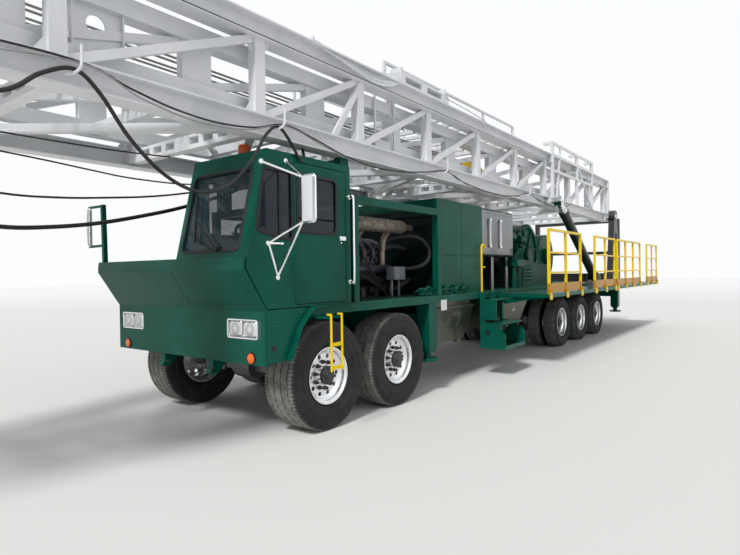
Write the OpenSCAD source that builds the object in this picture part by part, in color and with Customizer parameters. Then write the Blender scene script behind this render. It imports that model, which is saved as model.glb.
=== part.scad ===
// Self-propelled workover rig: a five-axle half-cab carrier with a two-section lattice mast
// laid forward over it. Millimetres. Sizes are measured from the front axle's centre line on
// the ground, +X forward, +Y left, +Z up. Every module is shifted by row() so that the
// finished rig's origin is the middle of its footprint.

/* [Running gear] */
// Distance from the first to the second steered axle
steer_spacing = 1300; // [1290:10:1500]
// Distance from the first axle to the first of the three rear axles
bogie_start = 7650; // [7600:10:7800]
// Spacing of the three rear axles
bogie_spacing = 1370; // [1340:10:1400]
// Outer diameter of the wide single front tyres
front_od = 1150; // [1120:5:1160]
// Section width of the front tyres
front_w = 430; // [400:5:440]
// Outer diameter of the twin rear tyres
rear_od = 1056; // [1000:2:1080]
// Section width of a rear tyre
rear_w = 280; // [250:5:290]
// Distance of a front tyre's middle plane from the centre line
front_y = 1085; // [1075:5:1100]
// Distance of an outer rear tyre's middle plane from the centre line
rear_y = 1110; // [1090:5:1120]
// Distance between the middle planes of twin tyres
dual_spacing = 335; // [325:5:345]
// Bead seat radius of every rim
bead_r = 286; // [280:1:290]
// Distance of the kingpins from the centre line
kingpin_y = 800; // [790:5:805]

/* [Chassis and decks] */
// Height of the main deck's top
deck_top = 1330; // [1320:5:1350]
// Depth of the deck's edge channel
deck_h = 100; // [90:5:110]
// Half of the carrier's body width
body_hw = 1300; // [1290:5:1310]
// Middle of each main rail from the centre line
rail_y = 430; // [420:5:435]
// Underside of the main rails
rail_bottom = 820; // [800:5:840]
// Width of a main rail's flanges
rail_w = 150; // [130:5:160]
// Distance of the chassis' rear end behind the front axle
rear_x = 13600; // [13500:10:13800]
// Half width over the folded-out side platforms
wing_hw = 2090; // [2000:10:2150]
// Distance of the side platforms' front edge behind the front axle
wing_x = 4400; // [4350:10:4500]
// Height of the side platforms' top
wing_top = 1270; // [1260:2:1290]
// Height of the platform railings
rail_height = 1067; // [1000:1:1100]

/* [Nose and cab] */
// Front of the fascia ahead of the front axle
fascia_x = 908; // [900:2:920]
// Front of the prow ahead of the front axle
prow_x = 1160; // [1150:2:1180]
// Top of the prow's band and of the flat deck beside the cab
prow_top = 1820; // [1810:2:1840]
// Inner side of the half cab from the centre line
cab_y = 200; // [180:5:240]
// Rear wall of the cab behind the front axle
cab_rear = 350; // [330:5:380]
// Top of the cab's roof
cab_top = 2830; // [2800:5:2840]
// Thickness of the cab's walls and door
cab_wall = 40; // [35:1:45]
// Front edge of the door, where its hinge lies
door_x = 510; // [500:2:520]
// Width of the cab door
door_w = 780; // [760:5:790]

/* [Engine bay, tanks and drawworks] */
// Rear end of the open engine bay behind the front axle
bay_rear = 2380; // [2360:5:2400]
// Height of the engine bay's roof beams
bay_top = 2530; // [2500:5:2560]
// Rear end of the cooler housing behind the front axle
cooler_rear = 3830; // [3800:5:3840]
// Top of the cooler housing
cooler_top = 2700; // [2680:5:2720]
// Rear end of the fluid tank behind the front axle
tank_rear = 5310; // [5280:5:5340]
// Distance of the main drum's axis behind the front axle
drum_x = 6450; // [6420:5:6480]
// Height of the main drum's axis
drum_z = 2020; // [2000:5:2040]
// Radius of the main drum's flanges
drum_r = 470; // [440:5:480]

/* [Mast] */
// Underside of the laid mast
mast_z = 2960; // [2955:1:2970]
// Depth of the lower section's side frames
mast_h = 1110; // [1090:5:1130]
// Half width of the lower section
mast_hw = 1250; // [1240:5:1260]
// Depth and width of the lower section's chords
chord = 200; // [190:2:205]
// Front end of the lower section ahead of the front axle
mast_front = 4500; // [4450:10:4600]
// Distance of the mast hinge behind the front axle
hinge_x = 11450; // [11430:5:11480]
// Length of a lattice bay
bay = 1525; // [1500:5:1540]
// Depth of the upper section
upper_h = 650; // [620:5:680]
// Depth and width of the upper section's chords
upper_chord = 150; // [140:2:155]
// Front end of the upper section's side frames
upper_front = 5600; // [5550:10:5650]
// Distance of the upper section's rear end behind the front axle
upper_rear = 8300; // [8200:10:8400]
// Front end of the crown, the foremost point of the rig
crown_x = 6400; // [6350:10:6450]

/* [Hidden] */

// Gap between faces that seat, and between round faces that slide
seat = 0.3;
// Radial clearance of a pin or shaft in its bore
run = 0.05;
x_mid = (crown_x - rear_x) / 2;
green = [0.02, 0.30, 0.24];
steel = [0.30, 0.31, 0.33];
white = [0.90, 0.91, 0.92];
yellow = [0.95, 0.72, 0.05];

// Steered axles: name, distance behind the first axle
steered = [["1", 0], ["2", steer_spacing]];
// Rear axles: name, distance behind the first axle
driven = [["3", bogie_start], ["4", bogie_start + bogie_spacing],
          ["5", bogie_start + 2 * bogie_spacing]];

front_r = front_od / 2;
rear_r = rear_od / 2;
rail_top = deck_top - deck_h - seat;
plate = 8;
spindle_r = 45;
hub_r = 105;
front_rim_w = 370;
rear_rim_w = 230;

hinge_z = mast_z + chord / 2;
mast_rear = hinge_x + 150;
mast_top = mast_z + mast_h;
upper_z = mast_z + chord + 40;
upper_hw = mast_hw - chord - 30;
upper_top = upper_z + upper_h;

module row() {
  translate([-x_mid, 0, 0]) children();
}

module both_sides() {
  children();
  mirror([0, 1, 0]) children();
}

// Box between two corners, given as ranges
module block(x, y, z) {
  translate([x[0], y[0], z[0]]) cube([x[1] - x[0], y[1] - y[0], z[1] - z[0]]);
}

// A side profile, drawn as [x, z], from y[0] to y[1]
module across(y) {
  translate([0, y[1], 0]) rotate([90, 0, 0]) linear_extrude(y[1] - y[0]) children();
}

// A cross profile, drawn as [y, z], from x[0] to x[1]
module along(x) {
  translate([x[0], 0, 0]) rotate([90, 0, 90]) linear_extrude(x[1] - x[0]) children();
}

// Straight bar in a side plane from p to q, w deep, spanning y
module bar(p, q, w, y) {
  d = q - p;
  translate([p[0], y[0], p[1]]) rotate([0, -atan2(d[1], d[0]), 0])
    translate([0, 0, -w / 2]) cube([norm(d), y[1] - y[0], w]);
}

// Straight bar in a level plane from p to q, w wide, spanning z
module flat_bar(p, q, w, z) {
  d = q - p;
  translate([p[0], p[1], z[0]]) rotate([0, 0, atan2(d[1], d[0])])
    translate([0, -w / 2, 0]) cube([norm(d), w, z[1] - z[0]]);
}

// Round rod from a to b, points in space
module rod(a, b, r) {
  d = b - a;
  translate(a) rotate([0, acos(d[2] / norm(d)), atan2(d[1], d[0])])
    cylinder(h = norm(d), r = r, $fn = 24);
}

// Cylinder along Y at [x, z] between two y values
module pin(c, y, r, fn = 48) {
  translate([c[0], y[1], c[1]]) rotate([90, 0, 0]) cylinder(h = y[1] - y[0], r = r, $fn = fn);
}

// Wide-flange beam section, d deep and b wide, centred on [y, z]
module wide_flange(c, d, b, tf, tw) {
  translate(c) {
    for (s = [-1, 1]) translate([0, s * (d - tf) / 2]) square([b, tf], center = true);
    square([tw, d - tf], center = true);
  }
}

// Rectangle with rounded corners between two corners
module soft_rect(p, q, r) {
  translate(p + [r, r]) offset(r = r, $fn = 24) square(q - p - [2 * r, 2 * r]);
}

// Turns a wheel's half section, drawn as [radius, outboard], about the axle at [x, y, z]
module turned(c) {
  translate(c) rotate([-90, 0, 0]) rotate_extrude($fn = 72) children();
}

// Wheels

function tyre_section(r, w, rw) = [
  [bead_r + seat, -rw / 2 + 20], [bead_r + 30, -rw / 2 + 16],
  [bead_r + 0.35 * (r - bead_r), -w / 2 + 8], [bead_r + 0.55 * (r - bead_r), -w / 2],
  [r - 52, -w / 2 + 6], [r - 18, -w / 2 + 20], [r, -w / 2 + 46],
  [r, w / 2 - 46], [r - 18, w / 2 - 20], [r - 52, w / 2 - 6],
  [bead_r + 0.55 * (r - bead_r), w / 2], [bead_r + 0.35 * (r - bead_r), w / 2 - 8],
  [bead_r + 30, rw / 2 - 16], [bead_r + seat, rw / 2 - 20]
];

function rim_section(rw) = [
  [bead_r + 16, -rw / 2], [bead_r + 16, -rw / 2 + 10], [bead_r, -rw / 2 + 16],
  [bead_r - 4, -rw / 2 + 52], [bead_r - 34, -rw / 2 + 80],
  [bead_r - 34, rw / 2 - 80], [bead_r - 4, rw / 2 - 52],
  [bead_r, rw / 2 - 16], [bead_r + 16, rw / 2 - 10], [bead_r + 16, rw / 2],
  [bead_r + 4, rw / 2], [bead_r - 14, rw / 2 - 22], [bead_r - 18, rw / 2 - 56],
  [bead_r - 48, rw / 2 - 84], [bead_r - 48, -rw / 2 + 84],
  [bead_r - 18, -rw / 2 + 56], [bead_r - 14, -rw / 2 + 22], [bead_r + 4, -rw / 2]
];

// Wheel disc with its hand holes: middle plane at a, from the hub out to the rim's well
module disc(c, a) {
  difference() {
    turned(c) polygon([[hub_r - 10, a - 11], [hub_r - 10, a + 11], [bead_r - 60, a + 11],
      [bead_r - 40, a + 26], [bead_r - 36, a + 4], [bead_r - 52, a - 11]]);
    for (i = [0:9]) translate(c) rotate([0, i * 36, 0])
      translate([bead_r - 82, 0, 0]) rotate([-90, 0, 0])
        translate([0, 0, a - 30]) cylinder(h = 60, r = 24, $fn = 24);
  }
}

module front_tyre(x) {
  turned([x, front_y, front_r]) polygon(tyre_section(front_r, front_w, front_rim_w));
}

module front_rim(x) {
  c = [x, front_y, front_r];
  face = front_rim_w / 2 - 92;
  turned(c) polygon(rim_section(front_rim_w));
  disc(c, face);
  turned(c) polygon([[spindle_r + run, -75], [hub_r + 30, -75], [hub_r + 30, -55], [hub_r, -50],
    [hub_r, face + 30], [hub_r - 18, face + 70], [spindle_r + 15, face + 82], [0, face + 82],
    [0, face + 60], [spindle_r + run, face + 60]]);
}

// Twin wheels: two tyres, two rims set back to back, the hub between them and the drum
module rear_wheel(x) {
  mid = rear_y - dual_spacing / 2;
  for (y = [rear_y, rear_y - dual_spacing])
    turned([x, y, rear_r]) polygon(tyre_section(rear_r, rear_w, rear_rim_w));
  for (y = [rear_y, rear_y - dual_spacing])
    turned([x, y, rear_r]) polygon(rim_section(rear_rim_w));
  disc([x, mid, rear_r], 12);
  disc([x, mid, rear_r], -12);
  for (s = [-1, 1]) turned([x, mid, rear_r])
    polygon([[bead_r - 38, s * 2], [bead_r - 38, s * 20],
      [bead_r - 22, s * 75], [bead_r - 8, s * 75], [bead_r - 20, s * 30], [bead_r - 26, s * 2]]);
  turned([x, mid, rear_r]) polygon([[spindle_r + run, -260], [hub_r, -260], [hub_r, 180],
    [hub_r - 12, 196], [hub_r - 12, 236], [40, 250], [0, 250], [0, 180], [spindle_r + run, 180]]);
  turned([x, mid, rear_r]) polygon([[hub_r - 5, -60], [205, -60], [205, -235], [190, -235],
    [190, -75], [hub_r - 5, -75]]);
}

// Steering knuckle: kingpin, boss, spindle and steering arm
module knuckle(x) {
  difference() {
    union() {
      translate([x, kingpin_y, front_r - 90]) cylinder(h = 180, r = 52, $fn = 48);
      translate([x, kingpin_y, front_r - 140]) cylinder(h = 280, r = 26, $fn = 48);
      pin([x, front_r], [kingpin_y, front_y + front_rim_w / 2 - 60], spindle_r);
      pin([x, front_r], [kingpin_y, front_y - 76], spindle_r + 28);
    }
  }
  block([x - 210, x - 20], [kingpin_y - 12, kingpin_y + 18], [front_r - 70, front_r - 30]);
  translate([x - 210, kingpin_y + 3, front_r - 85]) cylinder(h = 60, r = 26, $fn = 32);
}

// Running gear

module leaf_pack(x, half, z) {
  for (i = [0:4]) block([x - half * (1 - i * 0.16), x + half * (1 - i * 0.16)],
    [rail_y - 40, rail_y + 40], [z - 14 * i, z + 15 - 14 * i]);
}

module front_axles() color(steel) row() for (a = steered) {
  x = -a[1];
  beam_top = front_r + 55;
  difference() {
    union() {
      block([x - 55, x + 55], [-kingpin_y + 60, kingpin_y - 60], [front_r - 55, beam_top]);
      both_sides() {
        block([x - 55, x + 55], [kingpin_y - 100, kingpin_y - 59], [front_r - 128, front_r + 128]);
        for (z = [front_r - 128, front_r + 92])
          translate([x, kingpin_y, z]) cylinder(h = 36, r = 58, $fn = 48);
        for (z = [front_r - 128, front_r + 92])
          block([x - 50, x + 50], [kingpin_y - 70, kingpin_y], [z, z + 36]);
      }
    }
    both_sides() translate([x, kingpin_y, front_r - 200])
      cylinder(h = 400, r = 26 + run, $fn = 48);
    both_sides() translate([x, kingpin_y, front_r - 92])
      cylinder(h = 184, r = 70, $fn = 48);
  }
  both_sides() {
    leaf_pack(x, 470, beam_top + 62);
    for (s = [-1, 1]) block([x + s * 450 - 30, x + s * 450 + 30],
      [rail_y - 30, rail_y + 30], [beam_top + 74, rail_bottom - seat]);
    for (s = [-1, 1]) block([x + s * 62 - 12, x + s * 62 + 12],
      [rail_y - 48, rail_y + 48], [beam_top - 140, beam_top + 84]);
    block([x - 74, x + 74], [rail_y - 48, rail_y + 48], [beam_top - 20, beam_top + 7]);
  }
  pin([x, front_r], [-150, 150], 150);
}

module rear_axles() color(steel) row() for (a = driven) {
  x = -a[1];
  seat_z = rear_r + 90;
  spindle_end = rear_y - dual_spacing / 2 + 178;
  pin([x, rear_r], [-spindle_end, spindle_end], spindle_r);
  pin([x, rear_r], [-560, 560], 85);
  pin([x, rear_r], [-150, 150], 205);
  turned([x, 0, rear_r]) polygon([[0, -240], [110, -240], [205, -150], [205, 150], [110, 240],
    [0, 240]]);
  both_sides() {
    block([x - 90, x + 90], [rail_y - 50, rail_y + 50], [rear_r - 60, seat_z]);
    leaf_pack(x, 520, seat_z + 56 + seat);
    for (s = [-1, 1]) block([x + s * 500 - 36, x + s * 500 + 36],
      [rail_y - 30, rail_y + 30], [seat_z + 62, rail_bottom - seat]);
  }
}

// Frame

module jack_post(x) {
  block([x - 100, x + 100], [body_hw - 202, body_hw - 2], [600, deck_top - deck_h - seat]);
  block([x - 78, x + 78], [body_hw - 180, body_hw - 24], [560, 640]);
  translate([x, body_hw - 102, 470]) cylinder(h = 150, r = 55, $fn = 32);
  translate([x, body_hw - 102, 445]) cylinder(h = 40, r = 150, $fn = 48);
  block([x - 70, x + 70], [rail_y + 20, body_hw - 150], [rail_bottom + 60, rail_bottom + 260]);
}

module chassis_frame() color(green) row() {
  rail_h = rail_top - rail_bottom;
  difference() {
    union() {
      both_sides() along([-rear_x + 60, fascia_x - 28 - seat])
        wide_flange([rail_y, rail_bottom + rail_h / 2], rail_h, rail_w, 22, 14);
      for (x = [700, -540, -2480, -3300, -4600, -5900, -7000, -8335, -9705, -11200, -12400, -13450])
        block([x - 50, x + 50], [-rail_y, rail_y], [rail_bottom + 90, rail_top - 60]);
      both_sides() jack_post(-2100);
      both_sides() jack_post(-12350);
      both_sides() across([rail_y - 40, rail_y + 40]) polygon([
        [600, rail_bottom + 20], [fascia_x - 50, rail_bottom + 20], [fascia_x - 20, 700],
        [fascia_x + 10, 650], [fascia_x - 110, 650], [fascia_x - 160, 720]]);
    }
    both_sides() pin([fascia_x - 50, 700], [rail_y - 60, rail_y + 60], 25);
  }
}

// Nose

function nose_line(t) = [
  [fascia_x - t, rail_bottom - 22], [fascia_x - t, 1310 + 0.3 * t],
  [prow_x - t, 1700 + 0.3 * t], [prow_x - t, 1760], [prow_x - 10 - t, prow_top]
];

module nose() color(green) row() {
  sheet = 28;
  outer = nose_line(0);
  inner = nose_line(sheet);
  lip_x = 280;
  liner = deck_top - plate;
  difference() {
    across([-body_hw + 4, body_hw - 4])
      polygon(concat(outer, [for (i = [4:-1:0]) inner[i]]));
    both_sides() block([fascia_x - 60, fascia_x + 10], [760, 1240], [1045, 1225]);
    both_sides() pin_x([0, 1100, 862], fascia_x, 52);
  }
  both_sides() {
    across([body_hw - 18, body_hw - 6]) polygon([[fascia_x - 12, 820], [650, 820], [490, 1130],
      [lip_x, liner], [fascia_x - 8, liner], [fascia_x - 12, 1300]]);
    across([rail_y + 110, body_hw - 12]) polygon([[735, 822], [560, 1132], [lip_x + 4, liner - 2],
      [lip_x + 20, liner - 2], [572, 1138], [749, 822]]);
  }
  difference() {
    across([-body_hw + 10, cab_y - 20]) polygon([[-cab_rear, deck_top + seat],
      [fascia_x - 4, deck_top + seat], [prow_x - 16, 1700], [prow_x - 16, prow_top - 4],
      [-cab_rear, prow_top - 4]]);
    across([-body_hw + 35, cab_y - 45]) polygon([[-cab_rear + 25, 1200], [fascia_x - 118, 1200],
      [prow_x - 52, 1690], [prow_x - 52, prow_top - 29], [-cab_rear + 25, prow_top - 29]]);
  }
}

// Short cut along X through a panel at x, centred on [_, y, z]
module pin_x(c, x, r) {
  translate([x - 60, c[1], c[2]]) rotate([0, 90, 0]) cylinder(h = 90, r = r, $fn = 32);
}

module lamps() color([0.95, 0.62, 0.25]) row() {
  both_sides() {
    along([fascia_x - 50, fascia_x - 4]) soft_rect([760 + seat, 1045 + seat],
      [1240 - seat, 1225 - seat], 12);
    translate([fascia_x - 26, 1100, 862]) rotate([0, 90, 0])
      cylinder(h = 36, r = 52 - seat, $fn = 48);
  }
  translate([700, 800, cab_top + seat]) {
    cylinder(h = 26, r = 75, $fn = 48);
    cylinder(h = 120, r = 60, $fn = 48);
  }
}

// Cab

cab_bottom = deck_top + seat;
cab_side = [[-cab_rear, cab_bottom], [fascia_x - 30, cab_bottom], [prow_x - 46, 1706],
            [prow_x - 42, 1760], [862, cab_top], [-cab_rear, cab_top]];
door_z = [cab_bottom + 28, cab_top - 78];
gap = 8;
quarter = [[540, 1980], [1000, 2060], [905, 2650], [540, 2650]];

// Point on the cab's slanted front at height z
function front_at(z) = prow_x - 42 - (z - 1760) * (prow_x - 42 - 862) / (cab_top - 1760);

module cab_shell() color(green) row() {
  w = cab_wall;
  difference() {
    across([cab_y, body_hw]) polygon(cab_side);
    across([cab_y + w, body_hw - w]) offset(delta = -w) polygon(cab_side);
    block([700, 1300], [270, 1160], [1880, 2660]);
    across([body_hw - w - 10, body_hw + 10]) offset(r = 20) offset(delta = -20) polygon(quarter);
    across([cab_y - 10, cab_y + w + 10]) soft_rect([-60, 2080], [720, 2650], 40);
    along([-cab_rear - 10, -cab_rear + w + 10]) soft_rect([400, 2100], [1100, 2620], 40);
    across([body_hw - w - 10, body_hw + 10])
      soft_rect([door_x - door_w - gap, door_z[0] - gap], [door_x + 5, door_z[1] + gap], 30);
  }
}

module cab_glass() color([0.10, 0.13, 0.15, 0.4]) row() {
  w = cab_wall;
  t = 6;
  across([270 + seat, 1160 - seat]) polygon([
    [front_at(1880) - 22, 1880 + seat], [front_at(1880) - 22 + t, 1880 + seat],
    [front_at(2660) - 22 + t, 2660 - seat], [front_at(2660) - 22, 2660 - seat]]);
  across([body_hw - w / 2, body_hw - w / 2 + t])
    offset(delta = -seat) offset(r = 20) offset(delta = -20) polygon(quarter);
  across([cab_y + w / 2, cab_y + w / 2 + t])
    soft_rect([-60 + seat, 2080 + seat], [720 - seat, 2650 - seat], 40);
  along([-cab_rear + w / 2, -cab_rear + w / 2 + t])
    soft_rect([400 + seat, 2100 + seat], [1100 - seat, 2620 - seat], 40);
}

module cab_door() color(green) row() {
  y = [body_hw - cab_wall, body_hw];
  difference() {
    across(y) soft_rect([door_x - door_w, door_z[0]], [door_x - 3, door_z[1]], 24);
    across([y[0] - 10, y[1] + 10]) soft_rect([-120, 2070], [470, 2640], 40);
  }
  block([door_x - door_w + 30, door_x - door_w + 130], [body_hw, body_hw + 26], [2010, 2050]);
  // Barrel of the piano hinge
  translate([door_x, body_hw + 3, door_z[0] + 30])
    cylinder(h = door_z[1] - door_z[0] - 60, r = 5.5, $fn = 32);
}

module door_glass() color([0.10, 0.13, 0.15, 0.4]) row() {
  across([body_hw - cab_wall / 2, body_hw - cab_wall / 2 + 6])
    soft_rect([-120 + seat, 2070 + seat], [470 - seat, 2640 - seat], 40);
}

module cab_interior() color([0.16, 0.16, 0.18]) row() {
  floor_z = cab_bottom + cab_wall + seat;
  cy = (cab_y + body_hw) / 2;
  block([-40, 330], [cy - 190, cy + 190], [floor_z, floor_z + 340]);
  along([-60, 400]) soft_rect([cy - 250, floor_z + 330], [cy + 250, floor_z + 450], 40);
  across([cy - 230, cy + 230]) polygon([[-60, floor_z + 430], [60, floor_z + 430],
    [-60, floor_z + 1080], [-160, floor_z + 1080]]);
  across([cab_y + cab_wall + 2, body_hw - cab_wall - 2]) polygon([[800, floor_z + 340],
    [1000, floor_z + 380], [1030, floor_z + 400], [1020, floor_z + 500], [860, floor_z + 520]]);
  block([760, 820], [cab_y + 60, body_hw - 60], [floor_z, floor_z + 360]);
  rod([840, cy, floor_z + 400], [560, cy, floor_z + 620], 28);
  translate([560, cy, floor_z + 620]) rotate([0, -52, 0])
    rotate_extrude($fn = 48) translate([225, 0]) circle(r = 15, $fn = 16);
  translate([560, cy, floor_z + 620]) rotate([0, -52, 0])
    for (a = [0, 120, 240]) rotate([0, 0, a]) translate([0, -14, -8]) cube([220, 28, 16]);
  block([800, 900], [cy - 60, cy + 60], [floor_z + 340, floor_z + 460]);
}

module mirrors() color([0.75, 0.76, 0.78]) row() {
  along([620, 680]) soft_rect([1560, 2200], [1690, 2610], 26);
  // Arm roots on the cab's side: [x, z]
  for (p = [[650, cab_top - 120], [650, 1980], [570, cab_top - 60]]) {
    block([p[0] - 20, p[0] + 20], [body_hw + seat, body_hw + 24], [p[1] - 20, p[1] + 20]);
    rod([p[0], body_hw + 12, p[1]], [650, 1640, p[1] < 2200 ? 2230 : 2580], 12);
  }
  post_x = 1100;
  block([post_x - 22, post_x + 22], [-1262, -1218], [prow_top - 4 + seat, 2480]);
  rod([post_x, -1240, 2440], [post_x, -1620, 2440], 12);
  rod([post_x, -1240, 2060], [post_x, -1620, 2060], 12);
  along([post_x - 30, post_x + 30]) soft_rect([-1690, 2040], [-1560, 2450], 26);
  rail = [-cab_rear + 20, body_hw + 60];
  translate([rail[0], rail[1], 1520]) cylinder(h = 1010, r = 14, $fn = 24);
  for (z = [1560, 2490]) rod([rail[0], body_hw + seat, z], [rail[0], rail[1], z], 12);
}

// Decks

// Ladder: the rails' places along X, how far out it hangs to let the wheel steer, its foot
ladder_x = [100, 262];
ladder_y = body_hw + 240;
ladder_z = 680;
ladder_r = 12;

module decks() color(green) row() {
  z = [deck_top - deck_h, deck_top];
  front = 280;
  difference() {
    union() {
      block([-rear_x, front], [-body_hw, body_hw], [z[1] - plate, z[1]]);
      both_sides() block([-rear_x, front], [body_hw - 12, body_hw], z);
      block([-rear_x, -rear_x + 12], [-body_hw, body_hw], z);
      for (x = [200, -650, -2420, -3300, -4600, -5900, -7000, -8335, -9705, -11200, -12400])
        block([x - 40, x + 40], [-body_hw + 6, body_hw - 6], [z[0], z[1] - 4]);
      for (x = ladder_x)
        block([x - 14, x + 14], [body_hw - 150, ladder_y - 20], [z[0] - 26, z[0] + 2]);
    }
    block([-bay_rear + 60, -cab_rear - 160], [-rail_y - 90, rail_y + 90], [z[0] - 1, z[1] + 1]);
  }
}

module wings() color(green) row() both_sides() {
  z = [wing_top - 60, wing_top];
  y = [body_hw + seat, wing_hw];
  x = [-rear_x, -wing_x];
  block(x, y, [z[1] - plate, z[1]]);
  block(x, [y[0], y[0] + 10], z);
  block(x, [y[1] - 10, y[1]], z);
  for (i = [0:8]) {
    bx = -wing_x - 40 - i * (rear_x - wing_x - 80) / 8;
    block([bx - 40, bx + 40], y, [z[0], z[1] - 4]);
    along([bx - 6, bx + 6]) polygon([[y[0], z[0] + 4], [y[0], z[0] - 110],
      [y[0] + 60, z[0] - 110], [y[1] - 120, z[0] + 4]]);
  }
}

// Railing panel between two x values, on the platform's outer edge
module railing(x, posts) {
  y = [wing_hw - 50, wing_hw - 12];
  z0 = wing_top + seat;
  top = wing_top + rail_height;
  block(x, y, [top - 40, top]);
  for (k = [1, 2]) block(x, [y[0] + 8, y[1] - 8], [z0 + k * 0.31 * rail_height,
    z0 + k * 0.31 * rail_height + 30]);
  block(x, [y[0] + 12, y[1] - 12], [z0 + 20, z0 + 170]);
  for (i = [0:posts - 1]) {
    px = x[0] + 25 + i * (x[1] - x[0] - 50) / (posts - 1);
    block([px - 25, px + 25], y, [z0, top]);
    // Socket that hooks over the platform's edge
    block([px - 25, px + 25], [y[1] - 2, wing_hw + 12], [z0, z0 + 60]);
    across([wing_hw + seat, wing_hw + 12]) polygon([[px - 25, z0 + 58], [px - 55, z0 - 90],
      [px + 55, z0 - 90], [px + 25, z0 + 58]]);
  }
}

// Railing panels: front end, rear end, posts
panels = [[wing_x + 50, wing_x + 1790, 3], [wing_x + 2690, wing_x + 4310, 3],
          [wing_x + 4500, wing_x + 6930, 4], [wing_x + 7740, rear_x - 20, 3]];

module handrails() color(yellow) row() {
  both_sides() for (p = panels) railing([-p[1], -p[0]], p[2]);
  // Ladder hooked on the two brackets under the front deck's edge
  hook_z = deck_top - deck_h + 2 + seat + ladder_r;
  for (x = ladder_x) {
    rod([x, ladder_y, ladder_z], [x, ladder_y, hook_z], ladder_r);
    rod([x, ladder_y, hook_z], [x, ladder_y - 50, hook_z], ladder_r);
    translate([x, ladder_y, hook_z]) sphere(r = ladder_r, $fn = 24);
  }
  for (z = [ladder_z + 20, ladder_z + 250])
    block([ladder_x[0], ladder_x[1]], [ladder_y - 8, ladder_y + 8], [z, z + 36]);
  // Inverted U beside the stairs
  rail_x = -3750;
  rail_y0 = body_hw - 46;
  for (s = [-1, 1]) rod([rail_x + s * 60, rail_y0, deck_top + seat],
    [rail_x + s * 60, rail_y0, 2020], 15);
  translate([rail_x, rail_y0, 2020]) rotate([90, 0, 0]) difference() {
    rotate_extrude($fn = 48) translate([60, 0]) circle(r = 15, $fn = 24);
    translate([-100, -100, -30]) cube([200, 100, 60]);
  }
  rod([rail_x - 60, rail_y0, 1720], [rail_x + 60, rail_y0, 1720], 11);
}

module stairs() color(green) row() {
  x = [-4290, -3520];
  y = [body_hw + seat, body_hw + 420];
  // Posts from the deck, and the top landing
  for (px = [x[0], x[0] + 330, x[1] - 60])
    block([px, px + 60], [y[0], y[0] + 60], [720, deck_top - 10]);
  block(x, [y[0], y[1] - 200], [1198, 1210]);
  block([x[1] - 12, x[1]], [y[0], y[1] - 140], [900, 1210]);
  // Lower box with rounded sides, its two treads and its floor
  for (px = [x[0], x[1] - 12]) along([px, px + 12]) difference() {
    union() {
      translate([y[0], 450]) square([y[1] - y[0], 190]);
      translate([y[0], 450]) square([y[1] - y[0] - 120, 400]);
      translate([y[1] - 120, 640]) circle(r = 120, $fn = 48);
    }
    translate([y[0] + 120, 700]) circle(r = 50, $fn = 32);
  }
  block(x, [y[0] + 60, y[1] - 40], [830, 842]);
  block(x, y, [450, 462]);
  block(x, [y[1] - 10, y[1]], [450, 510]);
  block(x, [y[0] + 50, y[0] + 60], [600, 842]);
}

module toolboxes() color([0.72, 0.73, 0.74]) row() both_sides() {
  // Box: front end, rear end, bottom
  for (b = [[2260, 3380, 610], [4550, 5600, 640]]) {
    along([-b[1], -b[0]]) polygon([[rail_y + 150, deck_top - deck_h - seat],
      [rail_y + 150, b[2]], [body_hw - 230, b[2]], [body_hw - 40, deck_top - deck_h - 90],
      [body_hw - 110, deck_top - deck_h - 90], [body_hw - 110, deck_top - deck_h - seat]]);
    // Drip strip over the lid, and drain lugs below
    along([-b[1] - 10, -b[0] + 10]) polygon([[body_hw - 112, deck_top - deck_h - 78],
      [body_hw - 22, deck_top - deck_h - 78], [body_hw - 22, deck_top - deck_h - 92],
      [body_hw - 112, deck_top - deck_h - 92]]);
    for (px = [b[0] + 120, b[1] - 160]) block([-px - 40, -px], [body_hw - 320, body_hw - 260],
      [b[2] - 40, b[2] + 2]);
  }
}

// Engine bay

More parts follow.
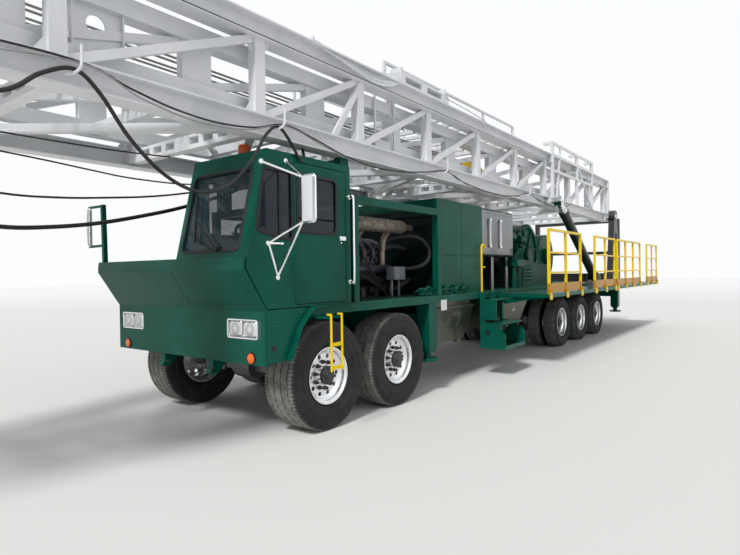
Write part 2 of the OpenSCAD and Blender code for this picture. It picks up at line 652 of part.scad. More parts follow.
module engine() color([0.08, 0.09, 0.13]) row() {
  x = [-2180, -800];
  wide = 520;
  block(x, [-330, 330], [1000, 1640]);
  // Ribs down the block's side
  both_sides() for (i = [0:6]) block([x[0] + 90 + i * 190, x[0] + 130 + i * 190], [325, 350],
    [1040, 1600]);
  both_sides() {
    // Head and its rocker covers
    across([150, wide]) soft_rect([x[0] + 60, 1560], [x[1] - 60, 1800], 40);
    for (i = [0:5]) translate([0, 0, 1798]) linear_extrude(height = 90)
      soft_rect([x[0] + 90 + i * 200, 230], [x[0] + 260 + i * 200, wide - 40], 30);
    // Injector domes and manifold with its branches
    for (i = [0:5]) translate([x[0] + 175 + i * 200, wide - 170, 1885])
      cylinder(h = 40, r = 38, $fn = 24);
    rod([x[0] + 100, wide + 75, 1700], [x[1] - 100, wide + 75, 1700], 62);
    for (i = [0:5]) pin([x[0] + 175 + i * 200, 1700], [wide - 20, wide + 60], 48, 24);
    // Oil filters, starter and alternator
    for (i = [0:2]) translate([x[0] + 240 + i * 150, 440, 1240])
      cylinder(h = 200, r = 58, $fn = 32);
    block([x[0] + 170, x[0] + 620], [325, 470], [1400, 1470]);
    rod([x[1] - 620, 430, 1330], [x[1] - 180, 430, 1330], 85);
    block([x[1] - 560, x[1] - 240], [325, 440], [1280, 1380]);
    // Control boxes on the side
    block([x[0] + 820, x[0] + 1090], [365, 600], [1340, 1560]);
    block([x[0] + 200, x[0] + 320], [250, rail_y - 7 - seat], [1040, 1180]);
  }
  // Turbocharger and air trunk on top
  block([x[0] + 200, x[1] - 200], [-150, 150], [1630, 2000]);
  rod([x[0] + 260, 0, 2080], [x[1] - 260, 0, 2080], 120);
  pin([x[0] + 320, 2080], [-210, 210], 150, 48);
  translate([x[1], 0, 1500]) rotate([0, 90, 0]) cylinder(h = 90, r = 90, $fn = 32);
  translate([x[1] + 60, 0, 1500]) rotate([0, 90, 0]) cylinder(h = 40, r = 380, $fn = 48);
  // Gearbox behind
  block([x[0] - 130, x[0] + 10], [-240, 240], [1050, 1560]);
}

module exhaust() color([0.52, 0.44, 0.38]) row() both_sides() {
  y = 800;
  z = 2290;
  rod([-2080, y, z], [-1180, y, z], 135);
  for (x = [-2080, -1640, -1200]) rod([x, y, z], [x + 30, y, z], 142);
  for (s = [-1, 1]) rod([-1630 + s * 440, y, z], [-1630 + s * 560, y, z], 100);
  rod([-1080, y, z], [-560, y, z], 70);
  rod([-2260, y, z], [-2180, y, z], 70);
  // Pipes up from the manifold, over to the silencer
  for (x = [-1300, -1900]) {
    rod([x, 595, 1700 + 62 + seat], [x, 595, 2160], 52);
    translate([x, 595, 2160]) sphere(r = 57, $fn = 32);
    rod([x, 595, 2160], [x, y - 60, 2250], 52);
  }
  rod([-1000, 640, 2120], [-480, 640, 2120], 48);
  rod([-1000, 640, 2120], [-1100, y, 2240], 48);
  translate([-1000, 640, 2120]) sphere(r = 53, $fn = 32);
}

module bay_frame() color(green) row() {
  y = body_hw - 20;
  z = [deck_top + seat, bay_top];
  both_sides() {
    for (x = [-cab_rear - 130, -bay_rear + 50])
      block([x - 45, x + 45], [y - 90, y], z);
    block([-bay_rear + 5, -cab_rear - 85], [y - 90, y], [bay_top - 90, bay_top]);
  }
  for (x = [-cab_rear - 130, -bay_rear + 50])
    block([x - 45, x + 45], [-y, y], [bay_top - 90, bay_top]);
  rest_x = -cab_rear - 90;
  both_sides() {
    block([rest_x - 70, rest_x + 70], [930, 1070], [bay_top - 20, mast_z - 20]);
    block([rest_x - 70, rest_x + 70], [mast_hw - chord + 10, mast_hw - chord / 2],
      [mast_z - 160, mast_z - seat]);
  }
  block([rest_x - 70, rest_x + 70], [-mast_hw + chord / 2 + 10, mast_hw - chord / 2 - 10],
    [mast_z - 170, mast_z - 30]);
}

module cooler() color(green) row() {
  x = [-cooler_rear, -bay_rear - 20];
  y = body_hw - 100;
  z = [deck_top + seat, cooler_top];
  difference() {
    across([-y, y]) soft_rect([x[0], z[0]], [x[1], z[1]], 20);
    // Seams of the side panels
    both_sides() {
      block([x[0] + 700, x[0] + 712], [y - 14, y + 10], [z[0] + 30, z[1] - 30]);
      block([x[0] + 30, x[1] - 30], [y - 14, y + 10], [z[0] + 560, z[0] + 572]);
    }
    // Fan opening in the roof
    translate([(x[0] + x[1]) / 2, 0, z[1] - 120]) cylinder(h = 200, r = 560, $fn = 72);
  }
  // Fan hub and spider in the opening
  translate([(x[0] + x[1]) / 2, 0, z[1] - 125]) {
    cylinder(h = 90, r = 120, $fn = 48);
    for (a = [0:5]) rotate([0, 0, a * 60 + 15]) translate([0, -18, 20]) cube([580, 36, 40]);
  }
}

module fluid_tank() color([0.72, 0.72, 0.70]) row() {
  x = [-tank_rear, -cooler_rear - 50];
  y = body_hw - 200;
  along(x) soft_rect([-y, 1900], [y, 2720], 60);
  both_sides() for (px = [x[0] + 100, (x[0] + x[1]) / 2, x[1] - 100])
    block([px - 50, px + 50], [y - 200, y - 80], [deck_top + seat, 1910]);
  block([x[0] + 200, x[1] - 200], [-400, 400], [deck_top + seat, 1700]);
}

// Drawworks

module drawworks() color(green) row() {
  x = -drum_x;
  base = deck_top + seat;
  both_sides() difference() {
    union() {
      pin([x, drum_z], [640, 900], drum_r + 90, 72);
      pin([x - 1150, drum_z - 60], [640, 900], drum_r, 72);
      block([x - 1500, x + 420], [640, 900], [base, drum_z]);
    }
    pin([x, drum_z], [600, 700], 80 + run);
  }
  // Rims, ribs and hub covers on the guards
  both_sides() {
    difference() {
      pin([x, drum_z], [898, 930], drum_r + 105, 72);
      pin([x, drum_z], [890, 940], drum_r + 40, 72);
      block([x - 700, x + 700], [880, 950], [drum_z - 800, drum_z - 200]);
    }
    pin([x, drum_z], [898, 990], 150, 48);
    pin([x - 1150, drum_z - 60], [898, 980], 170, 48);
    for (a = [20, 70, 120, 170]) bar([x + 130 * cos(a), drum_z + 130 * sin(a)],
      [x + (drum_r + 60) * cos(a), drum_z + (drum_r + 60) * sin(a)], 30, [898, 925]);
    block([x - 1480, x + 400], [898, 930], [base, base + 90]);
  }
  block([x - 1500, x + 420], [-900, 900], [base, base + 60]);
  block([x - 1500, x - 700], [-640, 640], [base, drum_z + 200]);
}

module drum() color([0.10, 0.10, 0.11]) row() {
  turned([-drum_x, 0, drum_z]) polygon([[0, -690], [80, -690], [80, -632], [drum_r, -632],
    [drum_r, -596], [250, -596], [250, 596], [drum_r, 596], [drum_r, 632], [80, 632], [80, 690],
    [0, 690]]);
}

// Mast support at the rear and the raising cylinders' base brackets

post_y = [mast_hw + 50, mast_hw + 200];
ram_y = mast_hw + 170;
ram_base = [-9400, 1500];
ram_eye = [ram_base[0] + 2500, hinge_z];
ram_vec = ram_eye - ram_base;
ram_len = norm(ram_vec);
ram_tilt = atan2(ram_vec[1], ram_vec[0]);
barrel_r = 97;
stage_r = 85;
rod_r = 65;

module mast_support() color([0.07, 0.08, 0.09]) row() {
  z0 = wing_top + seat;
  both_sides() {
    difference() {
      union() {
        across(post_y) polygon([[-hinge_x - 150, hinge_z - 100], [-hinge_x + 150, hinge_z - 100],
          [-hinge_x + 420, z0], [-hinge_x - 420, z0]]);
        pin([-hinge_x, hinge_z], post_y, 180);
      }
      across([post_y[0] - 10, post_y[1] + 10]) polygon([[-hinge_x - 60, hinge_z - 420],
        [-hinge_x + 60, hinge_z - 420], [-hinge_x + 260, z0 + 140], [-hinge_x - 260, z0 + 140]]);
      pin([-hinge_x, hinge_z], [post_y[0] - 10, post_y[1] + 10], 60 + run);
    }
    for (y = [[body_hw + seat, ram_y - barrel_r - 5], [ram_y + barrel_r + 5, ram_y + 120]])
      difference() {
      across(y) polygon([
        [ram_base[0] - 300, z0], [ram_base[0] - 90, ram_base[1] + 60],
        [ram_base[0] + 90, ram_base[1] + 60], [ram_base[0] + 300, z0]]);
      pin(ram_base, [ram_y - 200, ram_y + 200], 40 + run);
    }
  }
  block([-hinge_x - 120, -hinge_x + 120], [-body_hw + 20, body_hw - 20],
    [deck_top + seat, deck_top + 220]);
  // Rear frame with its cross-beams
  fx = -12750;
  both_sides() {
    block([fx - 60, fx + 60], [body_hw - 180, body_hw - 60], [deck_top + seat, 3120]);
    bar([fx + 40, 2560], [-hinge_x - 580, deck_top + 34], 90, [body_hw - 160, body_hw - 80]);
    block([-hinge_x - 680, -hinge_x - 500], [body_hw - 170, body_hw - 70],
      [deck_top + seat, deck_top + 20]);
  }
  block([fx - 50, fx + 50], [-body_hw + 100, body_hw - 100], [3010, 3110]);
  block([fx - 50, fx + 50], [-body_hw + 100, body_hw - 100], [2100, 2180]);
  both_sides() block([-hinge_x - 120, -hinge_x + 120], [body_hw - 60, post_y[1]],
    [deck_top + seat, deck_top + 220]);
}

// Draws along the ram's own axis, from its base pin towards its eye
module ram() {
  translate([ram_base[0], ram_y, ram_base[1]]) rotate([0, 90 - ram_tilt, 0]) children();
}

module raise_barrels() color([0.09, 0.09, 0.10]) row() both_sides() {
  ram() difference() {
    union() {
      cylinder(h = ram_len - 350, r = barrel_r, $fn = 48);
      translate([0, 0, ram_len - 470]) cylinder(h = 120, r = barrel_r + 10, $fn = 48);
    }
    translate([0, 0, 300]) cylinder(h = ram_len, r = stage_r + seat, $fn = 48);
    translate([0, 0, -200]) cube([400, 400, 400], center = true);
  }
  pin(ram_base, [ram_y - 92, ram_y + 92], 95);
  pin(ram_base, [body_hw + seat, ram_y + 130], 40);
}

module raise_stages() color([0.62, 0.63, 0.65]) row() both_sides() ram() difference() {
  union() {
    translate([0, 0, 320]) cylinder(h = ram_len - 620, r = stage_r, $fn = 48);
    translate([0, 0, ram_len - 330]) cylinder(h = 60, r = stage_r + 8, $fn = 48);
  }
  translate([0, 0, 420]) cylinder(h = ram_len, r = rod_r + seat, $fn = 48);
}

module raise_rods() color([0.62, 0.63, 0.65]) row() both_sides() {
  ram() {
    translate([0, 0, 440]) cylinder(h = ram_len - 500, r = rod_r, $fn = 48);
    translate([0, 0, ram_len - 250]) cylinder(h = 60, r = rod_r + 10, $fn = 48);
  }
  pin(ram_eye, [ram_y - 80, ram_y + 80], 90);
  pin(ram_eye, [mast_hw + 24 + seat, ram_y + 100], 38);
}

// Mast: lower section

// Verticals of the lower section, as distances ahead of the front axle
posts = concat([mast_front - 60, 2630], [for (i = [0:8]) 830 - i * bay]);
// Verticals of the upper section
upper_posts = concat([5520, 4200], [for (i = [0:6]) 2900 - i * bay],
                     [-upper_rear + 60]);

module side_frame() {
  y = [mast_hw - chord, mast_hw];
  yc = mast_hw - chord / 2;
  low = mast_z + chord;
  high = mast_top - chord;
  along([-mast_rear, mast_front]) wide_flange([yc, mast_z + chord / 2], chord, chord, 16, 12);
  along([-mast_rear, mast_front]) wide_flange([yc, mast_top - chord / 2], chord, chord, 16, 12);
  for (i = [0:len(posts) - 1]) {
    block([posts[i] - 60, posts[i] + 60], [yc - 50, yc + 50], [low - 10, high + 10]);
    // Tapered gusset at the foot and the head of the vertical
    across([yc - 8, yc + 8]) {
      polygon([[posts[i] - 170, low - 8], [posts[i] + 170, low - 8], [posts[i] + 58, low + 150],
        [posts[i] - 58, low + 150]]);
      polygon([[posts[i] - 170, high + 8], [posts[i] + 170, high + 8],
        [posts[i] + 58, high - 130], [posts[i] - 58, high - 130]]);
    }
    if (i < len(posts) - 1) intersection() {
      bar([posts[i] - 30, low - 8], [posts[i + 1] + 30, high + 8], 72, [yc - 34, yc + 34]);
      block([posts[i + 1], posts[i]], y, [low - 10, high + 10]);
    }
  }
  block([-mast_rear, -hinge_x + 250], [yc - 6, mast_hw], [mast_z, mast_z + chord]);
  block([-mast_rear, -mast_rear + 120], y, [mast_z, mast_top]);
  pin([-hinge_x, hinge_z], [mast_hw - 20, post_y[1] + 20], 60);
  pin([ram_eye[0], ram_eye[1]], [mast_hw - chord / 2, mast_hw + 24], 85);
}

// Box on the near chord that shields the folded board, with two windows
module board_box() {
  z = [mast_top - 4, mast_top + 130];
  x = [-2620, -1480];
  y = [mast_hw - chord + 20, mast_hw - 10];
  difference() {
    across(y) polygon([[x[0], z[0]], [x[1], z[0]], [x[1], z[1] + 20], [x[1] - 60, z[1] + 20],
      [x[0] + 40, z[1]], [x[0], z[1]]]);
    for (k = [0, 1]) block([x[0] + 110 + k * 530, x[0] + 500 + k * 530], [y[0] - 10, y[1] + 10],
      [z[0] + 30, z[1] - 26]);
  }
  for (px = [x[0] + 10, x[1] - 20]) block([px - 20, px + 20], y, [z[0], z[1] + 70]);
}

// Cage at the rear of the near side: posts, rails and a leaning brace
module board_cage() {
  y = [mast_hw - 30, mast_hw + 26];
  top = mast_top + 260;
  for (x = [-7060, -8720, -9920]) {
    block([x - 38, x + 38], y, [mast_z + chord - 10, top]);
    block([x - 38, x + 38], [mast_hw - chord + 20, mast_hw + 26], [top - 60, top]);
  }
  for (z = [mast_top - chord - 160, mast_top - 40, top - 60])
    block([-9950, -7040], [mast_hw - 12, mast_hw + 22], [z, z + 56]);
  bar([-7300, mast_z + chord], [-7560, top - 10], 60, [mast_hw - 10, mast_hw + 20]);
  bar([-8760, mast_top - 30], [-9880, mast_z + chord + 20], 50, [mast_hw - 10, mast_hw + 20]);
}

module mast_left() color(white) row() {
  side_frame();
  board_box();
  board_cage();
  bar([posts[3] - 20, mast_top - chord + 8], [posts[3] + 480, mast_z + chord - 8], 64,
    [mast_hw - chord / 2 + 20, mast_hw - chord / 2 + 60]);
}

module mast_right() color(white) row() mirror([0, 1, 0]) side_frame();

module mast_back() color(white) row() {
  y = mast_hw - chord / 2 - 6 - seat;
  z = [mast_z + 24, mast_z + chord - 24];
  for (i = [0:len(posts) - 1]) {
    difference() {
      block([posts[i] - 55, posts[i] + 55], [-y, y], z);
      both_sides() for (k = [0:2]) block([posts[i] - 70, posts[i] + 70],
        [140 + k * 240, 300 + k * 240], [z[0] + 46, z[1] - 30]);
    }
    both_sides() block([posts[i] - 55, posts[i] + 55], [upper_hw - 130, upper_hw - 20],
      [z[1] - 5, upper_z - seat]);
    if (i < len(posts) - 1) flat_bar([posts[i], (i % 2 == 0 ? y - 60 : -y + 60)],
      [posts[i + 1], (i % 2 == 0 ? -y + 60 : y - 60)], 90, [z[0] + 30, z[0] + 110]);
  }
}

// Mast: upper section

module upper_side() {
  y = [upper_hw - upper_chord, upper_hw];
  yc = upper_hw - upper_chord / 2;
  for (z = [upper_z, upper_top - upper_chord])
    along([-upper_rear, upper_front]) difference() {
      translate([y[0], z]) square([upper_chord, upper_chord]);
      translate([y[0] + 12, z + 12]) square([upper_chord - 24, upper_chord - 24]);
    }
  for (i = [0:len(upper_posts) - 1]) {
    w = (i > 1 && i < len(upper_posts) - 1) ? 300 : 120;
    block([upper_posts[i] - w / 2, upper_posts[i] + w / 2], [yc - 40, yc + 40],
      [upper_z + upper_chord - 2, upper_top - upper_chord + 2]);
    if (i < len(upper_posts) - 1) intersection() {
      bar([upper_posts[i] - 60, upper_z + upper_chord - 4],
        [upper_posts[i + 1] + 60, upper_top - upper_chord + 4], 70, [yc - 30, yc + 30]);
      block([upper_posts[i + 1], upper_posts[i]], y,
        [upper_z + upper_chord - 6, upper_top - upper_chord + 6]);
    }
  }
  for (x = board_lugs) across([y[0], y[0] + 40]) difference() {
    polygon([[x - 90, upper_top - 4], [x + 90, upper_top - 4], [x + 60, board_z + 50],
      [x - 60, board_z + 50]]);
    if (x == board_hinge[0]) translate(board_hinge) circle(r = 25 + run, $fn = 48);
  }
}

// Web plate with its round hole, near the upper section's foot
module web_plate() {
  y = [upper_hw - upper_chord / 2 - 8, upper_hw - upper_chord / 2 + 8];
  z = [upper_z + upper_chord - 2, upper_top - upper_chord + 2];
  difference() {
    across(y) polygon([[2045, z[0]], [2450, z[0]], [2450, z[1]], [2045, z[1]]]);
    pin([2250, (z[0] + z[1]) / 2 + 50], [y[0] - 10, y[1] + 10], 75);
  }
  for (x = [2045, 2438]) block([x, x + 12], [y[0] - 40, y[1] + 40], z);
}

module upper_left() color(white) row() {
  upper_side();
  web_plate();
}
module upper_right() color(white) row() mirror([0, 1, 0]) {
  upper_side();
  web_plate();
}

block_x = -5500;

module upper_back() color(white) row() {
  y = upper_hw - upper_chord - seat;
  z = [upper_z + 10, upper_z + 110];
  for (i = [0:len(upper_posts) - 1]) {
    block([upper_posts[i] - 45, upper_posts[i] + 45], [-y, y], z);
    if (i < len(upper_posts) - 1) flat_bar([upper_posts[i], (i % 2 == 0 ? -y + 50 : y - 50)],
      [upper_posts[i + 1], (i % 2 == 0 ? y - 50 : -y + 50)], 60, [z[0] + 10, z[0] + 70]);
  }
  for (s = [-1, 1]) block([block_x + s * 300 - 50, block_x + s * 300 + 50], [-y, y],
    [z[0], z[1] + 20 - seat]);
}

module crown() color(white) row() {
  x0 = upper_front + seat;
  cz = upper_z + upper_h * 0.72;
  cx = crown_x - 420;
  sheave = 330;
  for (z = [upper_z, upper_top - upper_chord])
    block([x0, x0 + 150], [-upper_hw, upper_hw], [z, z + upper_chord]);
  both_sides() {
    block([x0, x0 + 150], [upper_hw - upper_chord, upper_hw], [upper_z, upper_top]);
    difference() {
      across([430, 460]) polygon([[x0 + 140, upper_z], [crown_x - 120, upper_z + 160],
        [crown_x, cz - 40], [crown_x, cz + 140], [crown_x - 120, upper_top + 200],
        [x0 + 140, upper_top]]);
    }
    for (yy = [90, 210, 330]) turned([cx, yy, cz]) polygon([[50, -40], [sheave, -40],
      [sheave - 40, 0], [sheave, 40], [50, 40]]);
    bar([x0 + 100, upper_z + 60], [crown_x - 200, upper_z + 200], 80,
      [upper_hw - 120, upper_hw - 60]);
    block([crown_x - 250, crown_x - 150], [445, upper_hw - 90], [upper_z + 150, upper_z + 230]);
    difference() {
      across([upper_hw - 130, upper_hw - 95]) polygon([[x0 + 20, upper_top - 10],
        [x0 + 180, upper_top - 10], [x0 + 140, upper_top + 130], [x0 + 60, upper_top + 130]]);
      pin([x0 + 100, upper_top + 70], [0, upper_hw], 22);
    }
  }
  pin([cx, cz], [-470, 470], 70);
}

module travelling_block() color(yellow) row() {
  z0 = upper_z + 130;
  cz = z0 + 250;
  both_sides() {
    across([190, 225]) offset(r = 60, $fn = 24) offset(delta = -60) polygon([
      [block_x - 420, cz - 150], [block_x - 250, z0], [block_x + 330, z0],
      [block_x + 420, cz], [block_x + 330, cz + 230], [block_x - 200, cz + 230],
      [block_x - 420, cz + 120]]);
    for (y = [62, 135]) turned([block_x + 80, y, cz]) polygon([[40, -26], [240, -26],
      [212, 0], [240, 26], [40, 26]]);
  }
  pin([block_x + 80, cz], [-232, 232], 45);
  block([block_x - 400, block_x - 330], [-192, 192], [cz - 90, cz + 70]);
  difference() {
    across([-70, 70]) polygon([[block_x - 340, cz + 60], [block_x - 420, cz + 60],
      [block_x - 700, cz + 50], [block_x - 810, cz - 70], [block_x - 640, cz - 125],
      [block_x - 340, cz - 70]]);
    pin([block_x - 690, cz - 45], [-100, 100], 45);
  }
}

// Tubing board folded on top of the mast

board_hinge = [-6500, mast_top + 90];
board_front = -1500;
board_z = mast_top + 40;
board_lugs = [board_hinge[0], board_front - 200];
board_hw = upper_hw - 60;

module tubing_board() color(white) row() {
  x = [board_hinge[0] - 60, board_front];
  side = upper_hw - upper_chord - 2;
  z = [board_z + 60, board_z + 380];
  both_sides() {
    difference() {
      across([side - 60, side]) offset(r = 20, $fn = 16) offset(delta = -20)
        polygon([[x[0], board_z + 10], [x[1], board_z + 60], [x[1], board_z + 140],
          [x[0], board_z + 140]]);
      pin(board_hinge, [side - 100, side + 40], 25 + run);
    }
    pin(board_hinge, [side - 80, side + 44], 25);
    for (i = [0:7]) block([x[0] + 500 + i * 380, x[0] + 560 + i * 380], [260, side - 50],
      [board_z + 70, board_z + 130]);
    for (px = [x[0] + 600, x[0] + 1900, x[0] + 3200, x[1] - 160])
      block([px - 20, px + 20], [side - 40, side], [board_z + 100, z[1]]);
    block([x[0] + 580, x[1] - 140], [side - 40, side], [z[1] - 30, z[1]]);
  }
  for (px = [x[0] + 150, x[1] - 120]) block([px - 50, px + 50], [-side + 5, side - 5],
    [board_z + 65, board_z + 135]);
  block([x[0] + 120, x[1] - 40], [-260, 260], [board_z + 100, board_z + 130]);
}

// The repeated pieces under their own names

module mirrored() {
  mirror([0, 1, 0]) children();
}

module knuckle_1l() color(steel) row() knuckle(-steered[0][1]);
module knuckle_2l() color(steel) row() knuckle(-steered[1][1]);
module knuckle_1r() mirrored() knuckle_1l();
module knuckle_2r() mirrored() knuckle_2l();

module tyre_1l() color([0.10, 0.10, 0.10]) row() front_tyre(-steered[0][1]);
module tyre_2l() color([0.10, 0.10, 0.10]) row() front_tyre(-steered[1][1]);
module tyre_1r() mirrored() tyre_1l();
module tyre_2r() mirrored() tyre_2l();

module rim_1l() color([0.80, 0.81, 0.82]) row() front_rim(-steered[0][1]);
module rim_2l() color([0.80, 0.81, 0.82]) row() front_rim(-steered[1][1]);
module rim_1r() mirrored() rim_1l();
module rim_2r() mirrored() rim_2l();

module wheel_3l() color([0.12, 0.12, 0.12]) row() rear_wheel(-driven[0][1]);
module wheel_4l() color([0.12, 0.12, 0.12]) row() rear_wheel(-driven[1][1]);
module wheel_5l() color([0.12, 0.12, 0.12]) row() rear_wheel(-driven[2][1]);
module wheel_3r() mirrored() wheel_3l();
module wheel_4r() mirrored() wheel_4l();
module wheel_5r() mirrored() wheel_5l();

chassis_frame();
front_axles();
rear_axles();
knuckle_1l();
knuckle_1r();
knuckle_2l();
knuckle_2r();
tyre_1l();
tyre_1r();
tyre_2l();
tyre_2r();
rim_1l();
rim_1r();
rim_2l();
rim_2r();
wheel_3l();
wheel_3r();
wheel_4l();
wheel_4r();
wheel_5l();
wheel_5r();
nose();
cab_shell();
cab_glass();
cab_interior();
cab_door();
door_glass();
lamps();
mirrors();
decks();
wings();
handrails();
stairs();
toolboxes();
engine();
exhaust();
bay_frame();
cooler();
fluid_tank();
drawworks();
drum();
mast_support();
mast_left();
mast_right();
mast_back();
upper_left();
upper_right();
upper_back();
crown();
travelling_block();
tubing_board();
raise_barrels();
raise_stages();
raise_rods();
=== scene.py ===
# %% [markdown]
# # A workover rig, dressed
#
# The rig is a five-axle carrier with a half cab at its left front corner and a lattice mast laid
# forward over it. The solids come from the frame, already at their real size. This lesson gives
# them their paint, rubber, steel and glass, and adds what is too fine for a solid: tread, bolts,
# hoses, mesh, rivets and lines. Everything is in metres, +X forward, +Y left, +Z up.

import math

import bpy
import numpy as np
from mathutils import Matrix, Vector


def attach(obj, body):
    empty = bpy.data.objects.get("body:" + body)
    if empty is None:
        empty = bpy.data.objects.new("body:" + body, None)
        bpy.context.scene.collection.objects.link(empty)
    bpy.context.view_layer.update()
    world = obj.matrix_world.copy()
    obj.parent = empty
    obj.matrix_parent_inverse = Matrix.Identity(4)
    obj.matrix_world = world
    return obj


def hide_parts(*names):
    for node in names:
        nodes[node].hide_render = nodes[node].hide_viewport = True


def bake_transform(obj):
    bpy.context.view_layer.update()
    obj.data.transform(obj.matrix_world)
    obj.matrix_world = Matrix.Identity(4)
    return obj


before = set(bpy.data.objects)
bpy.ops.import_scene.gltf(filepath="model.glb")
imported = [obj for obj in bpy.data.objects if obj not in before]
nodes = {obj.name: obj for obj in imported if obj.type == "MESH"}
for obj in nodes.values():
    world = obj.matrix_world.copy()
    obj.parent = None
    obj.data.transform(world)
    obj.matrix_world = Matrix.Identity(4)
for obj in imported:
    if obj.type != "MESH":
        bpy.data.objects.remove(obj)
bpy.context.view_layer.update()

# %% [markdown]
# ## The place of the camera
#
# Sizes along the rig are easiest to read from the first axle, which is where a tape would be
# hooked on. The frame's own origin is the middle of the footprint, so `at` shifts a place that
# is measured from the axle. The camera stands at eye height off the left front corner.

# %% Camera
AXLE = 3.6  # the first axle lies this far ahead of the frame's origin


def at(*places):
    """Places measured from the first axle's middle on the ground, in the frame's own metres: one
    as at(x, y, z), many as at([(x, y, z), ...])."""
    return np.array(places[0] if len(places) == 1 else places, float) + (AXLE, 0, 0)


def look(place, yaw, pitch, roll):
    """Camera matrix: forward is the -X axis turned by yaw about Z, then tipped by pitch; the
    picture's right and up are then rolled about it."""
    yaw, pitch, roll = (math.radians(a) for a in (yaw, pitch, roll))
    forward = -np.array([math.cos(yaw) * math.cos(pitch), math.sin(yaw) * math.cos(pitch),
                         -math.sin(pitch)])
    level = np.cross(forward, [0, 0, 1])
    level /= np.linalg.norm(level)
    upright = np.cross(level, forward)
    right = math.cos(roll) * level + math.sin(roll) * upright
    up = math.cos(roll) * upright - math.sin(roll) * level
    matrix = np.eye(4)
    matrix[:3, 0], matrix[:3, 1], matrix[:3, 2], matrix[:3, 3] = right, up, -forward, place
    return Matrix(matrix.tolist())


scene = bpy.context.scene
camera = bpy.data.objects.new("camera", bpy.data.cameras.new("camera"))
scene.collection.objects.link(camera)
camera.data.sensor_width = 36
camera.data.lens = 26.64
camera.data.clip_end = 300
camera.matrix_world = look(at(4.33, 5.139, 1.664), 37.38, -0.56, -0.78)
scene.camera = camera
print("camera at", [round(v, 2) for v in camera.location])

# %% [markdown]
# ## Expressions instead of wires
#
# A procedural material is arithmetic on positions. Wiring each Math node by hand hides that
# arithmetic, so a small class wraps a socket and makes the node when Python sees an operator.
# `1 - mask` then reads as what it is. Colours go through Mix nodes, because a Math node would
# turn them grey.

# %% Shader expressions
class Wire:
    """One value socket. Operators on it add Math nodes to its tree."""

    def __init__(self, tree, socket):
        self.tree, self.socket = tree, socket

    def maths(self, operation, *others):
        return self.tree.add("ShaderNodeMath", {"operation": operation}, [self, *others])

    def __rsub__(self, other):
        return self.tree.add("ShaderNodeMath", {"operation": "SUBTRACT"}, [other, self])

    def part(self):
        """What is left after the point, moved to run from -0.5 to 0.5."""
        return self.maths("FRACT") - 0.5

    def step(self, low, high):
        """0 below low, 1 above high, and a soft rise between them."""
        return self.tree.add("ShaderNodeMapRange", {"interpolation_type": "SMOOTHSTEP"},
                             {"Value": self, "From Min": low, "From Max": high})


def operator(operation):
    """The method of Wire that stands for one sign."""
    return lambda self, other: self.maths(operation, other)


for sign, operation in (("add", "ADD"), ("radd", "ADD"), ("sub", "SUBTRACT"), ("mul", "MULTIPLY"),
                        ("rmul", "MULTIPLY"), ("truediv", "DIVIDE"), ("lt", "LESS_THAN")):
    setattr(Wire, f"__{sign}__", operator(operation))


class Tree:
    """A tree of nodes and the one method that adds a node: its type, its settings, its inputs."""

    def __init__(self, owner, shader):
        owner.use_nodes = True
        self.nodes, self.links = owner.node_tree.nodes, owner.node_tree.links
        self.shader = self.nodes[shader]

    def add(self, kind, settings, inputs, output=0):
        node = self.nodes.new(kind)
        for key, value in settings.items():
            setattr(node, key, value)
        for key, value in inputs.items() if isinstance(inputs, dict) else enumerate(inputs):
            if isinstance(value, Wire):
                self.links.new(value.socket, node.inputs[key])
            else:
                node.inputs[key].default_value = value
        return Wire(self, node.outputs[output])

    def connect(self, **wires):
        """Puts worked-out values on the shader's sockets."""
        for socket, value in wires.items():
            self.links.new(value.socket, self.shader.inputs[socket.replace("_", " ")])


